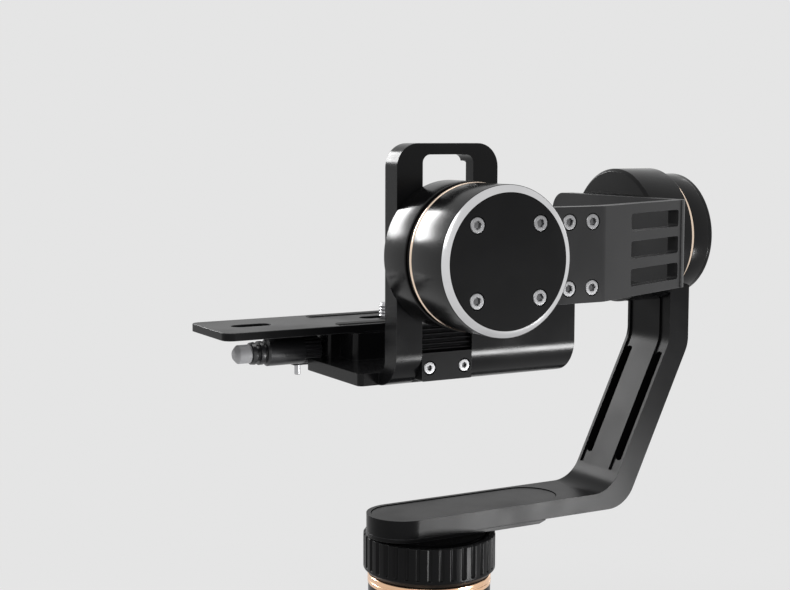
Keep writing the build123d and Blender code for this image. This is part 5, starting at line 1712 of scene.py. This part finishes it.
@dataclass
class Bracket:
    """Upright side plate with its height slot, level leg and rail."""

    plate_ease: float = 0.55 * MM
    block_ease: float = 0.3 * MM
    small_ease: float = 0.2 * MM
    rack_ease: float = 0.12 * MM

    def build(self) -> None:
        """Build the plate and what closes and locks it."""
        plate = softened("side_plate", self.plate_ease, angle=SHALLOW_CREASE)
        dress(plate, "side_plate", BRACKET_BLACK)
        screws = HexScrews(
            "block_screws", (LEFT,), head=2.3 * MM, shank=1.25 * MM, socket=1.0 * MM
        )
        block = softened("slot_block", self.block_ease)
        dress(screws.seat(block, LEFT), "slot_block")
        screws.build()
        dress(softened("slot_rack", self.rack_ease, segments=2), "slot_rack")
        dress(softened("stop_pin", self.small_ease, segments=2), "stop_pin")
        dress(softened("height_slider", self.block_ease), "height_slider")
        dress(softened("height_lock_screw", self.small_ease, segments=2), "height_lock_screw")
        HexScrews("slider_screws", (RIGHT,)).build()


@dataclass
class CameraPlate:
    """Sliding camera plate with its pads, screw and lock knob."""

    plate_ease: float = 0.4 * MM
    pad_ease: float = 0.3 * MM
    thread_pitch: float = 1.27 * MM
    thread_depth: float = 0.55 * MM
    screw_r: float = 3.175 * MM
    screw_up: float = 5.5 * MM
    screw_root: float = 0.3 * MM
    screw_tip: float = 0.7 * MM
    screw_neck: float = 2.6 * MM
    screw_head: float = 6.9 * MM
    screw_head_t: float = 2.3 * MM
    coin_slot: tuple[float, float, float] = (1.6 * MM, 10.0 * MM, 1.2 * MM)
    slot_ease: float = 0.02 * MM

    def build(self) -> None:
        """Build the plate, pads, screw and knob."""
        dress(softened("camera_plate", self.plate_ease, angle=SHALLOW_CREASE), "camera_plate")
        dress(softened("camera_plate_pads", self.pad_ease), "camera_plate_pads")
        self.screw()
        PlateKnob().build()

    def screw(self) -> None:
        """Camera screw with its thread, neck and slotted head."""
        low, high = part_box("camera_screw")
        centre = Vector(((low[0] + high[0]) / 2, (low[1] + high[1]) / 2, 0))
        foot, tip = low[2], high[2]
        start = tip - self.screw_up
        steps = 66
        run = self.screw_up - self.screw_root - self.screw_tip
        thread = [
            (start + self.screw_root + run * step / steps, self.screw_r)
            for step in range(steps + 1)
        ]
        profile = [
            (foot, 0.0), (foot, self.screw_head), (foot + self.screw_head_t, self.screw_head),
            (foot + self.screw_head_t, self.screw_neck), (start, self.screw_neck), *thread,
            (tip, self.screw_r - self.screw_tip), (tip, 0.0),
        ]
        piece = lathe(
            "camera_screw_threaded", Turn.Z, centre, profile, 0.0, 64,
            threaded(self.screw_r, self.thread_pitch, self.thread_depth),
        )
        width, length, depth = self.coin_slot
        outline = [
            (centre.x + across * width / 2, centre.y + along * length / 2)
            for across, along in ((-1, -1), (1, -1), (1, 1), (-1, 1))
        ]
        cut(piece, [slab("coin", Turn.Z, foot - 1 * MM, foot + depth, outline, self.slot_ease)])
        smooth(piece.data)
        dress(piece, "camera_screw")


@dataclass
class PlateKnob:
    """Lock knob of the camera plate: fluted and plain barrel, turned neck and soft end."""

    flutes: int = 20
    flute_half_width: float = 0.6 * MM
    flute_depth: float = 0.396 * MM
    flute_end: float = 50.0 * MM
    flute_run: float = 0.4 * MM
    stud_r: float = 2.5 * MM
    barrel_start: float = 43.0 * MM
    barrel_end: float = 65.6 * MM
    barrel_r: float = 5.3 * MM
    barrel_bevel: float = 0.5 * MM
    barrel_end_bevel: float = 0.8 * MM
    barrel_ease: float = 0.15 * MM
    tail_r: float = 3.6 * MM
    tail_start: float = 6.0 * MM
    tail_lap: float = 0.2 * MM
    tail_shoulder: float = 1.6 * MM
    tail_inset: float = 1.7 * MM
    tail_ease: float = 0.9 * MM
    neck: Profile = field(default_factory=lambda: [
        (0.0, 3.4 * MM), (1.2 * MM, 3.4 * MM), (1.2 * MM, 4.6 * MM), (2.8 * MM, 4.6 * MM),
        (2.8 * MM, 3.2 * MM), (4.4 * MM, 3.2 * MM), (4.4 * MM, 4.4 * MM), (6.0 * MM, 4.2 * MM),
    ])

    def build(self) -> None:
        """Build the turned barrel and the soft end."""
        low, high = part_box("plate_lock_knob")
        centre = Vector(((low[0] + high[0]) / 2, 0, (low[2] + high[2]) / 2))
        flute = ridges(self.flutes, self.flute_depth, self.flute_half_width, self.barrel_r)
        fine = [
            (self.flute_end + self.flute_run * step / 4, self.barrel_r) for step in range(-4, 5)
        ]
        barrel = [
            (low[1], 0.0), (low[1], self.stud_r), (self.barrel_start, self.stud_r),
            (self.barrel_start, self.barrel_r - self.barrel_bevel),
            (self.barrel_start + self.barrel_bevel, self.barrel_r), *fine,
            (self.barrel_end - self.barrel_end_bevel, self.barrel_r),
            (self.barrel_end, self.barrel_r - self.barrel_end_bevel),
            *((self.barrel_end + station, radius) for station, radius in self.neck),
            (self.barrel_end + self.tail_start, 0.0),
        ]

        def shape(station: float, radius: float, angle: float) -> float:
            """Radius of the barrel with its flutes.

            Args:
                station: Place along the axis.
                radius: Radius of the outline there.
                angle: Angle about the axis.

            Returns:
                The radius there.
            """
            aside = self.flute_run
            share = 1 - ramp(station, self.flute_end - aside, self.flute_end + aside)
            outside = ramp(radius, self.stud_r + 0.5 * MM, self.barrel_r - 0.6 * MM)
            return radius - flute(angle) * share * outside

        piece = lathe(
            "plate_knob_turned", Turn.Y, centre, barrel, self.barrel_ease, self.flutes * 12, shape
        )
        dress(piece, "plate_lock_knob")
        base = self.barrel_end + self.tail_start - self.tail_lap
        tail = [
            (base, 0.0), (base, self.tail_r), (high[1] - self.tail_shoulder, self.tail_r),
            (high[1], self.tail_r - self.tail_inset), (high[1], 0.0),
        ]
        end = lathe("plate_knob_soft_end", Turn.Y, centre, tail, self.tail_ease, 96)
        dress(end, "plate_lock_knob", SOFT_GREY, replaces=False)


# ---------------------------------------------------------------------------- studio
@dataclass(frozen=True)
class Lamp:
    """One soft box.  Size is in metres, power in watts, roll and spread in degrees."""

    name: str
    place: tuple[float, float, float]
    aim: tuple[float, float, float]
    size: tuple[float, float]
    power: float
    roll: float = 0.0
    spread: float = 180.0


@dataclass
class Studio:
    """Pale floor, soft lamps, world and camera.

    backdrop is the grey that the camera and reflections see, fill the plainer grey that lights.
    """

    eye: Vector = field(default_factory=lambda: Vector((-0.4890, 0.2906, AXIS_Z + 0.0427)))
    heading: float = 29.1
    dip: float = 5.4
    lean: float = 0.1
    lens: float = 65.9
    sensor: float = 36.0
    shift: tuple[float, float] = (0.0068, -0.0311)
    nearest: float = 0.01
    backdrop: float = 0.783
    fill: float = 0.33
    floor_reach: float = 6.0
    floor_drop: float = 0.4 * MM
    floor_grey: float = 0.74
    floor_rough: float = 0.75
    fade: tuple[float, float] = (0.14, 0.75)
    lamps: tuple[Lamp, ...] = (
        Lamp("rim", (1.15, 0.40, 0.80), (0.0, 0.0, 0.32), (0.60, 0.22), power=10.0, roll=-40.0),
        Lamp(
            "side", (-0.37, -0.28, 0.11), (-0.05, -0.03, 0.31), (0.14, 0.09), power=0.24,
            spread=60.0,
        ),
        Lamp("front", (-0.95, 0.95, 1.05), (0.0, 0.0, 0.30), (0.8, 0.8), power=7.0),
        Lamp("top", (0.05, -0.15, 1.45), (0.0, 0.0, 0.30), (0.6, 0.6), power=4.0),
        Lamp("back", (0.5, -1.2, 0.75), (0.0, 0.0, 0.30), (0.5, 0.7), power=1.6),
    )

    def build(self) -> None:
        """Build everything round the stabilizer."""
        self.camera()
        self.floor()
        self.world()
        for lamp in self.lamps:
            self.softbox(lamp)
        bpy.context.scene.view_settings.view_transform = "Standard"

    def camera(self) -> None:
        """Place the camera."""
        lens = bpy.data.cameras.new("camera")
        lens.sensor_width = self.sensor
        lens.lens = self.lens
        lens.shift_x, lens.shift_y = self.shift
        lens.clip_start = self.nearest
        camera = new_object("camera", lens)
        turn, dip = math.radians(self.heading), math.radians(self.dip)
        ahead = Vector((
            math.cos(turn) * math.cos(dip), -math.sin(turn) * math.cos(dip), -math.sin(dip)
        ))
        right = ahead.cross(UP).normalized()
        up = right.cross(ahead).normalized()
        basis = Matrix((right, up, -ahead)).transposed()
        basis = basis @ Matrix.Rotation(math.radians(self.lean), 3, "Z")
        camera.matrix_world = Matrix.Translation(self.eye) @ basis.to_4x4()
        bpy.context.scene.camera = camera

    def softbox(self, lamp: Lamp) -> None:
        """Place one soft box and aim it.

        Args:
            lamp: The soft box.
        """
        light = bpy.data.lights.new(lamp.name, "AREA")
        light.shape = "RECTANGLE"
        light.size, light.size_y = lamp.size
        light.energy = lamp.power
        light.spread = math.radians(lamp.spread)
        box = new_object(lamp.name, light)
        box.location = lamp.place
        way = Vector(lamp.aim) - Vector(lamp.place)
        roll = Quaternion((0, 0, 1), math.radians(lamp.roll))
        box.rotation_euler = (way.to_track_quat("-Z", "Y") @ roll).to_euler()
        box.visible_camera = False

    def floor(self) -> None:
        """Pale floor that takes the stabilizer's shadow and fades into the backdrop."""
        made = bmesh.new()
        bmesh.ops.create_circle(made, cap_ends=True, radius=self.floor_reach, segments=96)
        mesh = mesh_of("studio_floor", made)
        floor = new_object("studio_floor", mesh)
        floor.location.z = -self.floor_drop
        material = bpy.data.materials.new("studio_floor")
        material.use_nodes = True
        tree = material.node_tree
        shader = tree.nodes["Principled BSDF"]
        shader.inputs["Base Color"].default_value = self.grey(self.floor_grey)
        shader.inputs["Roughness"].default_value = self.floor_rough
        glow = tree.nodes.new("ShaderNodeEmission")
        glow.inputs["Color"].default_value = self.grey(self.backdrop)
        place = tree.nodes.new("ShaderNodeTexCoord").outputs["Object"]
        reach = vector_calc(tree, "LENGTH", place).outputs["Value"]
        fade = tree.nodes.new("ShaderNodeMapRange")
        fade.interpolation_type = "SMOOTHSTEP"
        fade.inputs["From Min"].default_value, fade.inputs["From Max"].default_value = self.fade
        tree.links.new(reach, fade.inputs["Value"])
        share = calc(tree, "MULTIPLY", fade.outputs[0], self.seen_rays(tree))
        self.blend(tree, share, shader, glow, tree.nodes["Material Output"])
        mesh.materials.append(material)

    @staticmethod
    def grey(value: float) -> tuple[float, float, float, float]:
        """Opaque grey of a value."""
        return (value, value, value, 1.0)

    @staticmethod
    def blend(
        tree: bpy.types.NodeTree,
        share: Socket,
        low: bpy.types.Node,
        high: bpy.types.Node,
        output: bpy.types.Node,
    ) -> None:
        """Blend two shaders into a tree's output.

        Args:
            tree: The tree.
            share: 0 where the first shader shows, 1 where the second one does.
            low: The first shader.
            high: The second shader.
            output: The output node.
        """
        mix = tree.nodes.new("ShaderNodeMixShader")
        for socket, source in zip(mix.inputs, (share, low.outputs[0], high.outputs[0])):
            tree.links.new(source, socket)
        tree.links.new(mix.outputs[0], output.inputs["Surface"])

    @staticmethod
    def seen_rays(tree: bpy.types.NodeTree) -> Socket:
        """Tell the rays that see the backdrop from those that it lights.

        Args:
            tree: The tree that the nodes go into.

        Returns:
            A value that is 1 for rays from the camera, a reflection or a transmission.
        """
        path = tree.nodes.new("ShaderNodeLightPath")
        both = calc(
            tree, "ADD", path.outputs["Is Camera Ray"], path.outputs["Is Glossy Ray"], clamp=True
        )
        return calc(tree, "ADD", both, path.outputs["Is Transmission Ray"], clamp=True)

    def world(self) -> None:
        """Backdrop colour where it is seen, a plainer fill where it lights."""
        world = bpy.data.worlds.new("studio")
        bpy.context.scene.world = world
        world.use_nodes = True
        tree = world.node_tree
        seen = tree.nodes["Background"]
        seen.inputs["Color"].default_value = self.grey(self.backdrop)
        fill = tree.nodes.new("ShaderNodeBackground")
        fill.inputs["Color"].default_value = self.grey(self.fill)
        self.blend(tree, self.seen_rays(tree), fill, seen, tree.nodes["World Output"])


def dress_remaining() -> None:
    """Give every CAD node its finish, in its own material slots."""
    for node, piece in frame["nodes"].items():
        finish = Finishes.get(slot_of(node).value)
        for slot in piece.material_slots:
            slot.material = finish


def main() -> None:
    """Build the sub-assemblies, dress what is left and set up the studio."""
    logging.basicConfig(level=logging.INFO, format="%(name)s %(message)s")
    for part in (
        Handle(), Controls(), PanMotor(), PanArm(), RollMotor(), RollStrap(), TiltMotor(),
        Bracket(), CameraPlate(),
    ):
        LOG.info("building %s", type(part).__name__)
        part.build()
    dress_remaining()
    Studio().build()


if __name__ == "__main__":
    main()
